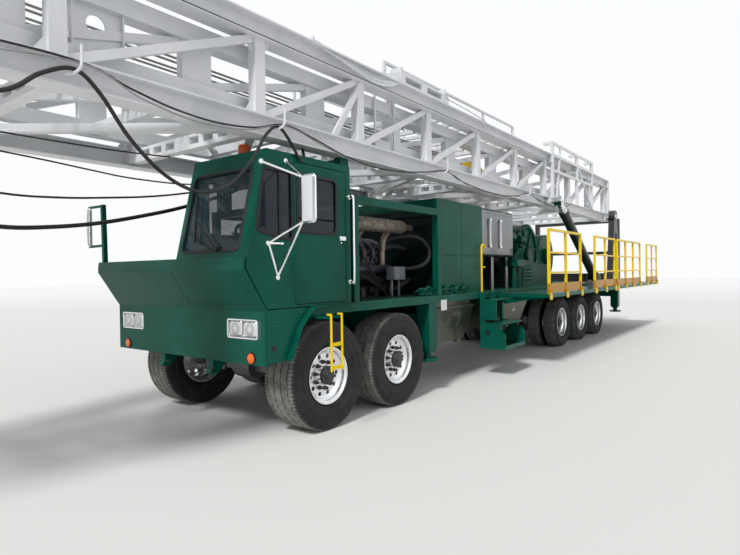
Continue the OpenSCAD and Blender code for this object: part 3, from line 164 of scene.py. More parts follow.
class Finish(Tree):
    """A material and the expressions that its surface is made of."""

    made = 0

    def __init__(self, name, **constants):
        Finish.made += 1
        self.material = bpy.data.materials.new(name)
        super().__init__(self.material, "Principled BSDF")
        for socket, value in constants.items():
            self.shader.inputs[socket.replace("_", " ")].default_value = value

    def place(self, scale=(1, 1, 1)):
        """Object coordinates, stretched by a Mapping node."""
        start = self.add("ShaderNodeTexCoord", {}, [], "Object")
        return self.add("ShaderNodeMapping", {}, {"Vector": start, "Scale": scale})

    def split(self, vector):
        """The three numbers of a vector."""
        parts = self.add("ShaderNodeSeparateXYZ", {}, [vector])
        return [Wire(self, socket) for socket in parts.socket.node.outputs]

    def axes(self):
        """X, Y and Z of the surface point, in metres."""
        return self.split(self.add("ShaderNodeTexCoord", {}, [], "Object"))

    def facing(self, axis=2):
        """How far the surface faces along an axis. Along Z it is 1 on a floor, 0 on a wall and
        -1 below."""
        return self.split(self.add("ShaderNodeNewGeometry", {}, [], "Normal"))[axis]

    def noise(self, scale, detail=4.0, rough=0.55, vector=None):
        return self.add("ShaderNodeTexNoise", {}, {"Vector": vector or self.place(), "Scale": scale,
                                                   "Detail": detail, "Roughness": rough})

    def blend(self, mask, first, second):
        """Colour: the first where the mask is 0, the second where it is 1."""
        inputs = {0: mask}
        for key, value in ((6, first), (7, second)):
            inputs[key] = value if isinstance(value, Wire) else (*value, 1)
        return self.add("ShaderNodeMix", {"data_type": "RGBA"}, inputs, 2)

    def lozenges(self, pitch):
        """The raised pattern of tread plate: in each square of the pitch lies one lozenge, and it
        leans left in half of the squares and right in the others, like the fields of a
        chessboard. 1 on a lozenge, 0 between them. On a wall the squares run up, on a floor
        across."""
        x, y, z = self.axes()
        flat, front = self.facing().step(0.6, 0.8), self.facing(0).maths("ABSOLUTE").step(0.6, 0.8)
        u, v = (x * (1 - front) + y * front) / pitch, (y * flat + z * (1 - flat)) / pitch
        lean = (u.maths("FLOOR") + v.maths("FLOOR")).maths("MODULO", 2.0).maths("ABSOLUTE") * 2 - 1
        a, b = u.part(), v.part() * lean
        along, across = (a + b).maths("ABSOLUTE"), (a - b).maths("ABSOLUTE")
        return 1 - (along * 1.25 + across * 3.6).step(0.75, 1.0)

    def relief(self, height, distance, strength=1.0, below=None):
        """Normal of a surface that the height lifts by up to distance metres."""
        inputs = {"Height": height, "Distance": distance, "Strength": strength}
        if below is not None:
            inputs["Normal"] = below
        return self.add("ShaderNodeBump", {}, inputs)

    def wear(self, **wires):
        """Connects the worked-out values and returns the material."""
        self.connect(**wires)
        return self.material


print("shader helpers ready")

# %% [markdown]
# ## Light and floor
#
# The light is a plain studio's: a pale world from all sides, one broad sun over the camera's left
# shoulder, so that the nose is lit and the long side lies a little in shade, and a weak second
# sun that opens that shade. A white background must not come from more light on the rig, so the
# world shows white only to camera, glossy and transmitted rays.

# %% World, lamps and floor
def sun(name, strength, direction, spread):
    """A lamp that shines from that direction, with shadows as soft as its spread in degrees."""
    lamp = bpy.data.lights.new(name, "SUN")
    lamp.energy, lamp.angle = strength, math.radians(spread)
    holder = bpy.data.objects.new(name, lamp)
    holder.rotation_euler = Vector(direction).to_track_quat("Z", "Y").to_euler()
    scene.collection.objects.link(holder)


sun("key_sun", 2.4, (0.8, 0.18, 0.78), 10)
sun("fill_sun", 0.3, (-0.1, 0.9, 0.5), 60)

scene.world = bpy.data.worlds.new("studio")
sky = Tree(scene.world, "Background")
rays = sky.add("ShaderNodeLightPath", {}, []).socket.node.outputs
camera_ray, glossy, through = (Wire(sky, rays[f"Is {name} Ray"])
                               for name in ("Camera", "Glossy", "Transmission"))
seen = sky.add("ShaderNodeMath", {"operation": "ADD", "use_clamp": True},
               [camera_ray, glossy + through])
sky.connect(Strength=sky.add("ShaderNodeMapRange", {},
                             {"Value": seen, "To Min": 0.42, "To Max": 1.0}))
sky.shader.inputs["Color"].default_value = (0.97, 0.985, 1.0, 1)

FLOOR = 90.0  # half width of the floor
floor_mesh = bpy.data.meshes.new("floor")
floor_mesh.from_pydata([(-FLOOR, -FLOOR, 0), (FLOOR, -FLOOR, 0), (FLOOR, FLOOR, 0),
                        (-FLOOR, FLOOR, 0)], [], [(0, 1, 2, 3)])
floor = bpy.data.objects.new("floor", floor_mesh)
scene.collection.objects.link(floor)
pale = Finish("pale_floor", Roughness=0.9)
x, y = pale.axes()[:2]
distance = (x * x + y * y).maths("SQRT")
pale.wear(Base_Color=pale.blend(distance.step(12, 60), (0.8, 0.79, 0.77), (0.93, 0.93, 0.93)))
floor.data.materials.append(pale.material)
scene.view_settings.view_transform = "Standard"
print("lamps:", len(bpy.data.lights), "floor:", 2 * FLOOR, "m wide")

# %% [markdown]
# ## Paints and metals
#
# Enamel on a rig is smooth but never clean: it has a faint orange-peel skin, dust that settles
# on whatever faces up and streaks below it. Each finish is one function of noises at the scales
# that the real surface shows.

# %% Paint
DUST = (0.46, 0.36, 0.25)


def enamel(name, colour, deep, dust=0.35, rough=0.28, gloss=0.5, plate=0.0, change=None):
    """Gloss paint: two shades drift into each other over half a metre, dust lies on what faces
    up and in thin streaks down the sides, and a fine skin gives the gloss its wobble. plate is
    the pitch of the lozenges where the paint lies on tread plate. change is a function of the
    finish and its shade: it gives a mask, that shade and the colour where the mask is 1."""
    paint = Finish(name, Coat_Weight=gloss * 0.3, Coat_Roughness=0.12, Specular_IOR_Level=gloss)
    drift = paint.noise(1.7, 3).step(0.35, 0.7)
    up = paint.facing().step(0.35, 0.95)
    specks = paint.noise(38, 6, 0.7).step(0.42, 0.75)
    streak = paint.noise(1, 5, 0.6, paint.place((9, 9, 0.7))).step(0.52, 0.78)
    film = up * specks * dust + streak * specks * (dust * 0.45)
    shade = paint.blend(drift, colour, deep)
    if change:
        shade = paint.blend(*change(paint, shade))
    normal = paint.relief(paint.noise(240, 2, 0.5), 0.0004, 0.35)
    if plate:
        raised = paint.lozenges(plate)
        shade = paint.blend(raised, shade, tuple(c * 1.4 + 0.008 for c in colour))
        normal = paint.relief(raised, 0.003, 0.8, normal)
    return paint.wear(
        Base_Color=paint.blend(film, shade, DUST),
        Roughness=film * 0.5 + specks * 0.08 + rough,
        Normal=normal)


def bare_metal(name, colour, rough, grain=(1, 1, 60), stain=(0.25, 0.18, 0.12), soil=0.3):
    """Metal with its grain drawn out along one axis, dulled in patches by dirt."""
    metal = Finish(name, Metallic=1.0)
    lines = metal.noise(22, 3, 0.6, metal.place(grain))
    patch = metal.noise(5.5, 3, 0.5).step(0.5, 0.8)
    return metal.wear(
        Base_Color=metal.blend(patch * soil, colour, stain),
        Metallic=1 - patch * soil,
        Roughness=lines * 0.12 + patch * 0.3 + rough,
        Normal=metal.relief(lines, 0.0003, 0.2))


EMERALD, SHADE = (0.0002, 0.086, 0.057), (0.0002, 0.062, 0.041)


def shaded_engine_room(paint, shade):
    """Mask of the engine's room, where the green is painted nearly black as painted shade. The mask
    is a product of steps: between its two frames, between its side walls and under its roof."""
    x, y, z = paint.axes()
    across = y.maths("ABSOLUTE")
    bay_shade_mask = ((x - AXLE).step(-2.44, -2.42) * (1 - (x - AXLE).step(-0.45, -0.36))
              * (1 - across.step(1.14, 1.185)) * z.step(1.326, 1.33) * (1 - z.step(2.5, 2.6)))
    # painted shade: the engine's room is coloured nearly black where shade falls in it
    return bay_shade_mask * 0.96, shade, (0.004, 0.008, 0.008)


green = enamel("green_enamel", EMERALD, SHADE, dust=0.08, gloss=0.12, change=shaded_engine_room)
green_plate = enamel("green_tread_plate", EMERALD, SHADE, dust=0.13, gloss=0.12, plate=0.036,
                     change=shaded_engine_room)
white = enamel("white_enamel", (0.74, 0.75, 0.77), (0.66, 0.675, 0.7), dust=0.3, rough=0.35)


def toe_boards(paint, shade):
    """Mask of the boards along the platforms' edge, which are a deeper yellow than the rails."""
    x, y, z = paint.axes()
    board = (z.step(1.28, 1.285) * (1 - z.step(1.44, 1.445))
             * (1 - (x - AXLE).step(-4.3, -4.2)) * y.maths("ABSOLUTE").step(2.03, 2.04))
    return board, shade, (0.46, 0.22, 0.004)


yellow = enamel("yellow_enamel", (0.88, 0.63, 0.006), (0.8, 0.54, 0.005), dust=0.14, gloss=0.14,
                change=toe_boards)
black = enamel("black_enamel", (0.014, 0.015, 0.018), (0.024, 0.024, 0.026), dust=0.4, rough=0.4)
engine_paint = enamel("engine_blue", (0.012, 0.016, 0.032), (0.025, 0.026, 0.034), dust=0.3,
                      rough=0.42)
aluminium = bare_metal("polished_aluminium", (0.82, 0.83, 0.84), 0.27, (1, 1, 1), soil=0.18)
sheet_metal = Finish("stainless", Metallic=1.0, Roughness=0.28)
smears = sheet_metal.noise(2.2, 3, 0.5, sheet_metal.place((1, 1, 0.25))).step(0.35, 0.75)
stainless = sheet_metal.wear(Base_Color=sheet_metal.blend(smears, (0.24, 0.245, 0.255),
                                                          (0.16, 0.165, 0.175)))
box_metal = bare_metal("brushed_boxes", (0.13, 0.13, 0.105), 0.3, (1, 1, 6), soil=0.25)
steel = bare_metal("forged_steel", (0.16, 0.16, 0.17), 0.45, (1, 1, 1), soil=0.6)
chrome = bare_metal("chrome", (0.86, 0.87, 0.88), 0.06, (1, 1, 1), soil=0.1)
scorched = bare_metal("scorched_steel", (0.3, 0.24, 0.2), 0.5, (1, 1, 1), (0.17, 0.09, 0.05), 0.8)
print("finishes so far:", Finish.made)

# %% Rubber, glass and trim
def rubber(name):
    """Black rubber: the side walls stay near black and the ribs of the tread are pale grey, partly
    from wear and partly as a painted highlight of sunlit tread. The mesh tells them apart with its
    own attribute, tread, which is 1 on a rib and less in a groove."""
    tyre = Finish(name, Specular_IOR_Level=0.22)
    dirt = tyre.noise(9, 6, 0.65).step(0.32, 0.72)
    grain = tyre.noise(160, 3, 0.6)
    rib_share = tyre.add("ShaderNodeAttribute", {"attribute_name": "tread"}, [], "Fac")
    wall = tyre.blend(dirt * 0.5, (0.013, 0.013, 0.014), (0.055, 0.052, 0.048))
    # painted highlight: the ribs' pale grey is partly rubber wear and partly the look of sunlit
    # tread
    ribs = tyre.blend(dirt, (0.145, 0.141, 0.136), (0.27, 0.26, 0.24))
    return tyre.wear(
        Base_Color=tyre.blend(rib_share, wall, ribs),
        Roughness=dirt * 0.15 + rib_share * 0.15 + 0.6,
        Normal=tyre.relief(grain, 0.0006, 0.5))


def pane(name):
    """Tinted safety glass. A thin pane bends light so little that it is best drawn as a glossy
    dark skin that lets a share of the light straight through: more through the windscreen, less
    through the darker side windows."""
    glass = Finish(name, IOR=1.45, Specular_IOR_Level=0.45)
    film = glass.noise(3, 3, 0.5).step(0.4, 0.8)
    side = glass.axes()[1].step(1.2, 1.22)
    tint = glass.blend(side, (0.03, 0.06, 0.075), (0.008, 0.014, 0.026))
    return glass.wear(
        Base_Color=glass.blend(film * 0.1, tint, (0.2, 0.21, 0.21)),
        Roughness=film * 0.05 + 0.03,
        Alpha=side * 0.45 + film * 0.08 + 0.36)


def moulded(name, colour, rough=0.6):
    """Moulded plastic or vinyl with a fine leather grain."""
    trim = Finish(name, Specular_IOR_Level=0.35)
    grain = trim.noise(220, 3)
    shade = trim.noise(3, 4).step(0.3, 0.7)
    return trim.wear(
        Base_Color=trim.blend(shade, colour, tuple(c * 1.5 for c in colour)),
        Roughness=grain * 0.15 + rough,
        Normal=trim.relief(grain, 0.0003, 0.3))


tyre_rubber = rubber("tyre_rubber")
cab_pane = pane("cab_pane")
vinyl = moulded("cab_vinyl", (0.03, 0.032, 0.036))
gasket = moulded("gasket_rubber", (0.01, 0.01, 0.011), 0.5)


def lamp_glass(name):
    """Cast lamp glass: fine upright flutes, and its colour by height. The round lamps low on the
    nose are amber, the plates behind the head lamps green and the beacon on the roof orange."""
    glass = Finish(name, Coat_Weight=0.3, Coat_Roughness=0.05)
    y, z = glass.axes()[1:]
    flutes = (y * 700).maths("SINE") * 0.5 + 0.5
    low = glass.blend(z.step(0.98, 1.0), (0.8, 0.13, 0.0), (0.0004, 0.07, 0.052))
    return glass.wear(
        Base_Color=glass.blend(z.step(2.0, 2.1), low, (0.62, 0.1, 0.01)),
        Roughness=flutes * 0.08 + 0.16,
        Normal=glass.relief(flutes, 0.0008, 0.6))


LAMP_Y, LAMP_Z, LENS = 0.98, 1.136, 0.105  # middle of a pair of lenses, and each one's way from it


def painted_reflector(name):
    """A head lamp seen from outside, with its light painted into the colour: a bright bowl behind
    clear glass with upright flutes. In the middle of each lens a painted highlight stands for the
    bulb, round it a ring of painted shade for the bowl's depth, and the rim is a bright painted
    reflection again; dark lines of painted shade lie in the flutes' troughs. The distance is
    measured from the nearer of the two lens centres."""
    bowl = Finish(name, Metallic=0.55, Coat_Weight=0.7, Coat_Roughness=0.03)
    y, z = bowl.axes()[1:]
    off, rise = (y.maths("ABSOLUTE") - LAMP_Y).maths("ABSOLUTE") - LENS, z - LAMP_Z
    away = (off * off + rise * rise).maths("SQRT")
    flutes = (y * 420).maths("SINE") * 0.5 + 0.5
    # painted shade: the grey ring of the bowl's depth between the bulb's painted highlight and the
    # bright rim
    deep = away.step(0.018, 0.034) * (1 - away.step(0.055, 0.075))
    shade = bowl.blend(deep * 0.45, (0.78, 0.79, 0.8), (0.16, 0.17, 0.19))
    # painted shade: dark lines in the troughs of the flutes
    return bowl.wear(
        Base_Color=bowl.blend((flutes < 0.22) * 0.4, shade, (0.25, 0.26, 0.28)),
        Roughness=flutes * 0.1 + 0.16,
        Normal=bowl.relief(flutes, 0.0012, 0.7))


lens = lamp_glass("lamp_glass")
head_lens = painted_reflector("head_lamp_glass")
print("finishes so far:", Finish.made)

# %% [markdown]
# ## Paint on the solids
#
# Each solid keeps its mesh and only gets its finish: the material goes into the object's own
# slots.

# %% Dress the solids
FRONT = ("1l", "1r", "2l", "2r")
DRESS = {
    green: ["chassis_frame", "nose", "cab_shell", "cab_door", "bay_frame", "cooler", "drawworks"],
    green_plate: ["decks", "wings", "stairs"],
    steel: ["front_axles", "rear_axles", *(f"knuckle_{w}" for w in FRONT)],
    tyre_rubber: [*(f"tyre_{w}" for w in FRONT), *(f"wheel_{a}{s}" for a in "345" for s in "lr")],
    aluminium: [f"rim_{w}" for w in FRONT],
    box_metal: ["toolboxes"],
    cab_pane: ["cab_glass", "door_glass"],
    vinyl: ["cab_interior"],
    lens: ["lamps"],
    chrome: ["mirrors", "raise_stages", "raise_rods"],
    yellow: ["handrails", "travelling_block"],
    engine_paint: ["engine"],
    scorched: ["exhaust"],
    stainless: ["fluid_tank"],
    black: ["drum", "mast_support", "raise_barrels"],
    white: ["mast_left", "mast_right", "mast_back", "upper_left", "upper_right", "upper_back",
            "crown", "tubing_board"],
}


def paint(thing, material):
    thing.data.materials.clear()
    thing.data.materials.append(material)


wearing = {name: material for material, names in DRESS.items() for name in names}
for name, material in wearing.items():
    paint(nodes[name], material)
print("solids with a finish:", len(wearing), "without:", sorted(set(nodes) - set(wearing)))

# %% [markdown]
# ## Surfaces from tables of points
#
# Every new piece is a skin over a table of points: a profile carried along a path, or turned
# about an axis. The table is worked out as one array, so a thousand bolts cost as many lines as
# one. The rule for the direction is the same everywhere: the columns run counter-clockwise when
# the rows lead towards the eye, and then the faces look outwards.

# %% Shapes
class Shape:
    """The points and faces of one piece, gathered surface by surface."""

    def __init__(self):
        self.points, self.faces, self.count = [], [], 0

    def add(self, points, groups):
        """Takes in points, and groups of faces whose numbers start at the first of them."""
        self.faces += [group + self.count for group in groups]
        self.points.append(np.reshape(points, (-1, 3)))
        self.count += len(self.points[-1])
        return self

    def grid(self, table, around=False, ends=False, loop=False):
        """Skins a table (rows, columns, 3), or many such tables at once. around joins the last
        column to the first, loop the last row to the first, and ends caps both end rows."""
        table = np.asarray(table, float)
        table = table.reshape(-1, *table.shape[-3:])
        index = np.arange(table[..., 0].size).reshape(table.shape[:3])
        net = np.concatenate([index, index[:, :, :1]], 2) if around else index
        net = np.concatenate([net, net[:, :1]], 1) if loop else net
        quads = np.stack([net[:, :-1, :-1], net[:, :-1, 1:], net[:, 1:, 1:], net[:, 1:, :-1]], -1)
        caps = [index[:, 0, ::-1], index[:, -1]] if ends else []
        return self.add(table, [quads.reshape(-1, 4), *caps])

    def solid(self, *tables):
        """Skins tables whose columns close into a ring and whose end rows are capped."""
        for table in tables:
            self.grid(table, around=True, ends=True)
        return self

    def closed(self, *tables):
        """Skins tables that close both ways, as a hoop does."""
        for table in tables:
            self.grid(table, around=True, loop=True)
        return self

    def scatter(self, small, places, turns=None):
        """Sets a copy of a small shape at each place, turned by that place's 3 x 3 rotation."""
        places = np.reshape(places, (-1, 1, 3))
        points = np.concatenate(small.points)
        points = points if turns is None else np.einsum("kij,nj->kni", turns, points)
        steps = small.count * np.arange(len(places))[:, None, None]
        return self.add(points + places, [(group + steps).reshape(-1, group.shape[1])
                                          for group in small.faces])

    def mirrored(self):
        """The same shape on the rig's other side: Y changes sign, so each face turns over."""
        return Shape().add(np.concatenate(self.points) * (1, -1, 1),
                           [group[:, ::-1] for group in self.faces])


def solid(*tables):
    return Shape().solid(*tables)


def ring(radius, sides=12):
    """Circle as a profile: radius times the cosine and the sine of the angle."""
    angle = np.arange(sides) * 2 * np.pi / sides
    return radius * np.stack([np.cos(angle), np.sin(angle)], -1)


def slab(width, height):
    """Rectangle as a profile, width across the path and height along its top direction."""
    return np.array([(1, -1), (1, 1), (-1, 1), (-1, -1)]) * (width / 2, height / 2)


def unit(vectors):
    return vectors / np.linalg.norm(vectors, axis=-1, keepdims=True)


def carry(profile, path, up=(0, 0, 1)):
    """Table of a profile carried along a path, or along many: at each point the side direction is
    up x forward and the top direction is forward x side, both at right angles to the path."""
    path = np.asarray(path, float)
    path = path.reshape(-1, *path.shape[-2:])
    forward = unit(np.gradient(path, axis=1))
    side = unit(np.cross(np.broadcast_to(up, forward.shape), forward))
    top = np.cross(forward, side)
    across, high = profile[:, :1], profile[:, 1:]
    return path[:, :, None] + side[:, :, None] * across + top[:, :, None] * high


def curve(knots, steps=6):
    """Smooth path through knots measured from the first axle. Between two knots it is the cubic
    whose slope at each is half of the way from the knot before to the knot after."""
    knots = at(knots)
    longer = np.vstack([2 * knots[0] - knots[1], knots, 2 * knots[-1] - knots[-2]])
    a, b, c, d = (longer[i:len(longer) - 3 + i, None] for i in range(4))
    t = np.linspace(0, 1, steps, endpoint=False)[:, None]
    body = 0.5 * (2 * b + (c - a) * t + (2 * a - 5 * b + 4 * c - d) * t ** 2
                  + (3 * b - a - 3 * c + d) * t ** 3)
    return np.vstack([body.reshape(-1, 3), knots[-1:]])


def sweep(profile, knots, up=(0, 0, 1), steps=6):
    """Table of a profile carried along the smooth path through the knots."""
    return carry(profile, curve(knots, steps), up)


def bars(pairs, radius, sides=10):
    """Straight round bars between pairs of end points, with each bar's middle as a third point."""
    ends = at(pairs)
    path = np.stack([ends[:, 0], ends.mean(1), ends[:, 1]], 1)
    return carry(ring(radius, sides), path, (0.31, 0.17, 1))


def lathe(profile, centre=0, axis=(0, 1, 0), segments=48):
    """Table of a profile of [radius, along] pairs turned about an axis through the centre."""
    axis = unit(np.asarray(axis, float))
    side = unit(np.cross((0, 0, 1) if abs(axis[2]) < 0.9 else (1, 0, 0), axis))
    angle = np.arange(segments)[:, None] * 2 * np.pi / segments
    spokes = side * np.cos(angle) + np.cross(axis, side) * np.sin(angle)
    profile = np.asarray(profile, float)
    return centre + profile[:, :1, None] * spokes + profile[:, 1:, None] * axis


def boxes(low, high):
    """Tables of upright boxes between their lowest and highest corners."""
    low, high = at(low).reshape(-1, 3), at(high).reshape(-1, 3)
    pick = np.array([(0, 0), (1, 0), (1, 1), (0, 1)])
    flat = np.stack([np.where(pick[:, i], high[:, None, i], low[:, None, i]) for i in (0, 1)], -1)
    table = np.repeat(flat[:, None], 2, 1)
    level = np.broadcast_to(np.stack([low[:, 2], high[:, 2]], 1)[:, :, None], table.shape[:3])
    return np.concatenate([table, level[..., None]], -1)


SLOTS = {"green_enamel": "green_paint", "green_tread_plate": "green_paint",
         "white_enamel": "white_paint", "engine_blue": "engine_paint",
         "grey_control_box": "engine_paint", "polished_aluminium": "rim_aluminium",
         "hub_black": "running_gear_steel", "heat_blanket": "exhaust_steel",
         "chrome": "chrome_trim", "mirror_glass": "chrome_trim", "wire_rope": "drum_steel",
         "lamp_glass": "lamp_lens", "head_lamp_glass": "lamp_lens", "cab_vinyl": "cab_trim",
         "gasket_rubber": "cab_trim", "hose_black": "tyre_rubber", "tyre_rubber": "tyre_rubber"}


made = []  # the pieces since the last report, each with the number of its faces


def tell():
    """Reports what a cell made."""
    print("faces of", ", ".join(made))
    made.clear()


def piece(name, shape, material, body="carrier", slot=None, bevel=0.0, sharp=35):
    """Makes the object of a shape, smooth except at edges sharper than that many degrees. It
    rides its body, or none when no body is given."""
    mesh = bpy.data.meshes.new(name)
    faces = [face for group in shape.faces for face in group.tolist()]
    mesh.from_pydata(np.concatenate(shape.points).tolist(), [], faces)
    made.append(f"{name} {len(faces)}")
    mesh.polygons.foreach_set("use_smooth", np.ones(len(mesh.polygons), bool))
    mesh.set_sharp_from_angle(angle=math.radians(sharp))
    thing = bpy.data.objects.new(name, mesh)
    scene.collection.objects.link(thing)
    if bevel:
        edge = thing.modifiers.new("bevel", "BEVEL")
        edge.width, edge.segments, edge.limit_method = bevel, 2, "ANGLE"
    paint(thing, material)
    if body:
        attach(thing, body)
    slot or SLOTS[material.name.split(".")[0]]
    return thing


def twins(name, shape, material, body="carrier", slot=None):
    """A piece on the left and its mirror image on the right. In both names the star stands for
    the side's letter."""
    return [piece(name.replace("*", side), one, material, body.replace("*", side), slot)
            for side, one in (("l", shape), ("r", shape.mirrored()))]


print("shape helpers ready")

# %% [markdown]
# ## Hoses and lines on the mast
#
# A mast that lies down for the road carries its guy lines and hoses on hooks along its side, and
# each sags between them under its own weight. A path through a few knots gives the sag. All of
# them are tied to the mast at both ends, so they go up with it.

# %% Free cords
CORDS = {  # diameter, Y, knots: one of two numbers is X and Z at the cord's own Y
    "standpipe_hose": (0.03, 1.34, [
        (4.3, 1.262, 2.96), (3.95, 1.31, 2.86), (3.45, 2.75), (3.03, 2.8), (2.8, 2.97),
        (2.59, 1.335, 3.055), (2.42, 2.93), (2.21, 2.66), (1.93, 2.43), (1.62, 2.335), (1.32, 2.43),
        (1.07, 2.68), (0.9, 1.335, 2.93), (0.74, 1.33, 3.045), (0.58, 1.33, 2.93),
        (0.43, 1.31, 2.78), (0.28, 1.22, 2.83), (0.2, 1.12, 2.95)]),
    "guy_line_a": (0.016, 1.3, [
        (4.35, 1.262, 3.155), (3.6, 1.29, 3.1), (2.58, 3.13), (2.18, 3.04), (1.8, 2.97),
        (1.4, 2.95), (1.0, 2.99), (0.62, 3.09), (0.2, 3.03), (-0.25, 2.94), (-0.8, 2.89),
        (-1.4, 2.92), (-1.95, 2.99), (-2.5, 3.08), (-2.9, 3.0), (-3.6, 2.94), (-4.4, 2.93),
        (-5.1, 3.0), (-5.55, 3.09), (-6.2, 1.29, 3.02), (-7.0, 1.28, 2.98), (-7.8, 1.27, 3.04),
        (-8.3, 1.264, 3.15)]),
    "guy_line_b": (0.012, 1.318, [
        (4.35, 1.264, 2.968), (3.7, 1.29, 2.96), (2.58, 3.115), (2.1, 2.98), (1.6, 2.91),
        (1.1, 2.95), (0.62, 3.075), (0.1, 2.98), (-0.5, 2.88), (-1.1, 2.86), (-1.8, 2.93),
        (-2.5, 3.065), (-3.2, 2.93), (-4.0, 2.88), (-4.8, 2.93), (-5.55, 3.075), (-6.3, 1.31, 2.96),
        (-7.2, 1.29, 2.95), (-8.0, 1.262, 2.975)]),
    "far_line_a": (0.016, -0.3, [
        (4.44, 2.97), (3.5, 2.94), (2.63, 2.93), (1.99, 2.93), (1.4, 2.94), (0.83, 2.97)]),
    "far_line_b": (0.018, -0.9, [
        (4.44, 2.97), (3.4, 2.93), (2.6, 2.9), (1.92, 2.86), (1.42, 2.82), (0.97, 2.79), (0.3, 2.8),
        (-0.25, 2.87), (-0.695, 2.97)]),
    "far_line_c": (0.022, -0.7, [
        (4.44, 2.97), (3.75, 2.72), (3.1, 2.54), (2.35, 2.45), (1.82, 2.46), (1.31, 2.51),
        (0.84, 2.57), (0.36, 2.66), (-0.25, -0.72, 2.81), (-0.695, -0.75, 2.97)]),
    "pressure_hose": (0.042, -0.5, [
        (4.44, 2.96), (3.98, 2.62), (3.45, 2.36), (2.95, 2.19), (2.43, 2.12), (2.01, 2.14),
        (1.52, 2.21), (0.96, 2.34), (0.53, 2.46), (-0.06, -0.52, 2.66), (-0.42, -0.56, 2.82),
        (-0.695, -0.6, 2.96)])}


hose_black = moulded("hose_black", (0.012, 0.012, 0.013), 0.45)
wire_rope = bare_metal("wire_rope", (0.3, 0.3, 0.31), 0.42, (14, 14, 14), soil=0.5)
for name, (thick, y, knots) in CORDS.items():
    path = curve([(knot[0], y, knot[1]) if len(knot) == 2 else knot for knot in knots])
    cord = piece(name, solid(carry(ring(thick / 2, 10), path, (0, 1, 0))),
                 hose_black if thick > 0.015 else wire_rope, "mast")
    "stiff" if thick > 0.025 else "medium"
tell()

# %% [markdown]
# ## Tyres
#
# A highway tyre has straight ribs between zigzag grooves, and its shoulders are nicked. Drawing
# the grooves in a texture would leave the outline smooth, so the rows of the surface follow the
# groove edges: each groove is four rows that all swing together along the tyre, a triangle wave
# of the angle. That way a few dozen rows carry a crisp tread.

# %% Tread
AXLES = {"1": 0.0, "2": -1.3, "3": -7.65, "4": -9.02, "5": -10.39}
FRONT_R, FRONT_W, FRONT_Y = 0.575, 0.43, 1.085
REAR_R, REAR_W, REAR_Y, TWIN = 0.528, 0.28, 1.11, 0.335
BEAD, GROOVE = 0.286, 0.013  # radius where the tyre sits on its rim, depth of its grooves


def tyre(radius, width, rim, waves):
    """A table (profile rows, angle columns) about the origin. Each row has a radius, a place along
    the axle and a swing: along = place + swing x triangle(waves x angle). At the shoulders the
    radius is 8 mm less over 0.3 of every half wave."""
    half = width / 2
    edge = half - 0.046
    rows = [(BEAD + 0.0003, -rim / 2 + 0.02, 0), (BEAD + 0.012, -rim / 2 + 0.004, 0),
            (BEAD + 0.03, -rim / 2 + 0.012, 0), (BEAD + 0.045, -half + 0.026, 0)]
    for share, inset in ((0.3, 0.012), (0.42, 0.005), (0.445, 0.001), (0.47, 0.004),
                         (0.58, 0.0005), (0.68, 0.002), (0.7, 0.0), (0.73, 0.003)):
        rows.append((BEAD + share * (radius - BEAD), -half + inset, 0))
    rows += [(radius - 0.052, -half + 0.006, 0), (radius - 0.03, -half + 0.012, 0),
             (radius - 0.01, -half + 0.021, 0), (radius - 0.002, -half + 0.03, 0)]
    tread = [(radius - deep, place + aside, 0.008)
             for place in np.linspace(-edge + 0.028, edge - 0.028, 4)
             for deep, aside in ((0, -0.0075), (GROOVE, -0.0045), (GROOVE, 0.0045), (0, 0.0075))]
    table = np.array(rows + tread + [(r, -x, s) for r, x, s in rows[::-1]])
    columns = waves * 8
    turn = np.arange(columns) / columns
    triangle = 4 * np.abs((turn * waves) % 1 - 0.5) - 1
    reach = np.repeat(table[:, :1], columns, 1)
    along = table[:, 1:2] + table[:, 2:3] * triangle
    shoulder = np.abs(np.abs(table[:, 1]) - (half - 0.024)) < 0.008
    reach[shoulder] -= np.where((turn * waves * 2) % 1 < 0.3, 0.008, 0.0)
    angle = turn * 2 * np.pi
    return Shape().closed(np.stack([reach * np.cos(-angle), along, reach * np.sin(-angle)], -1))


def read(items, key, kind=float):
    """One attribute of a mesh, three values to a row."""
    values = np.empty(len(items) * (3 if kind is float else 1), kind)
    items.foreach_get(key, values)
    return values.reshape(-1, 3)


def mark_tread(thing, centre, radius):
    """Writes the share of the pale rib colour at each point of a tyre: 1 on a rib, 0.35 in a
    groove, 0 on the wall.
    """
    x, _, z = read(thing.data.vertices, "co").T
    away = radius - np.hypot(x - centre[0], z - centre[2])
    rib_share = np.where(away < 0.009, 1.0, np.where(away < GROOVE + 0.0005, 0.35, 0.0))
    thing.data.attributes.new("tread", "FLOAT", "POINT").data.foreach_set("value", rib_share)


single, twin = tyre(FRONT_R, FRONT_W, 0.37, 44), tyre(REAR_R, REAR_W, 0.23, 40)
for axle, x in AXLES.items():
    front = axle in "12"
    radius = FRONT_R if front else REAR_R
    places = [at(x, y, radius) for y in ([FRONT_Y] if front else [REAR_Y, REAR_Y - TWIN])]
    shape = Shape().scatter(single if front else twin, places)
    new, body, old = (("front_tyre", "front_wheel", "tyre") if front
                      else ("twin_tyres", "twin_wheel", "wheel"))
    for side, thing in zip("lr", twins(f"{new}_{axle}*", shape, tyre_rubber, f"{body}_{axle}*")):
        mark_tread(thing, places[0], radius)
        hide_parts(f"{old}_{axle}{side}")
tell()

# %% [markdown]
# ## Rims, hubs and nuts
#
# The solid of a twin wheel is one node, tyres and rims together, but rubber and metal need two
# finishes. So the rims are shown as a copy of the solid's own mesh without the faces of the
# tyres: those that reach past the rim's edge, or lie on the seat of the bead.

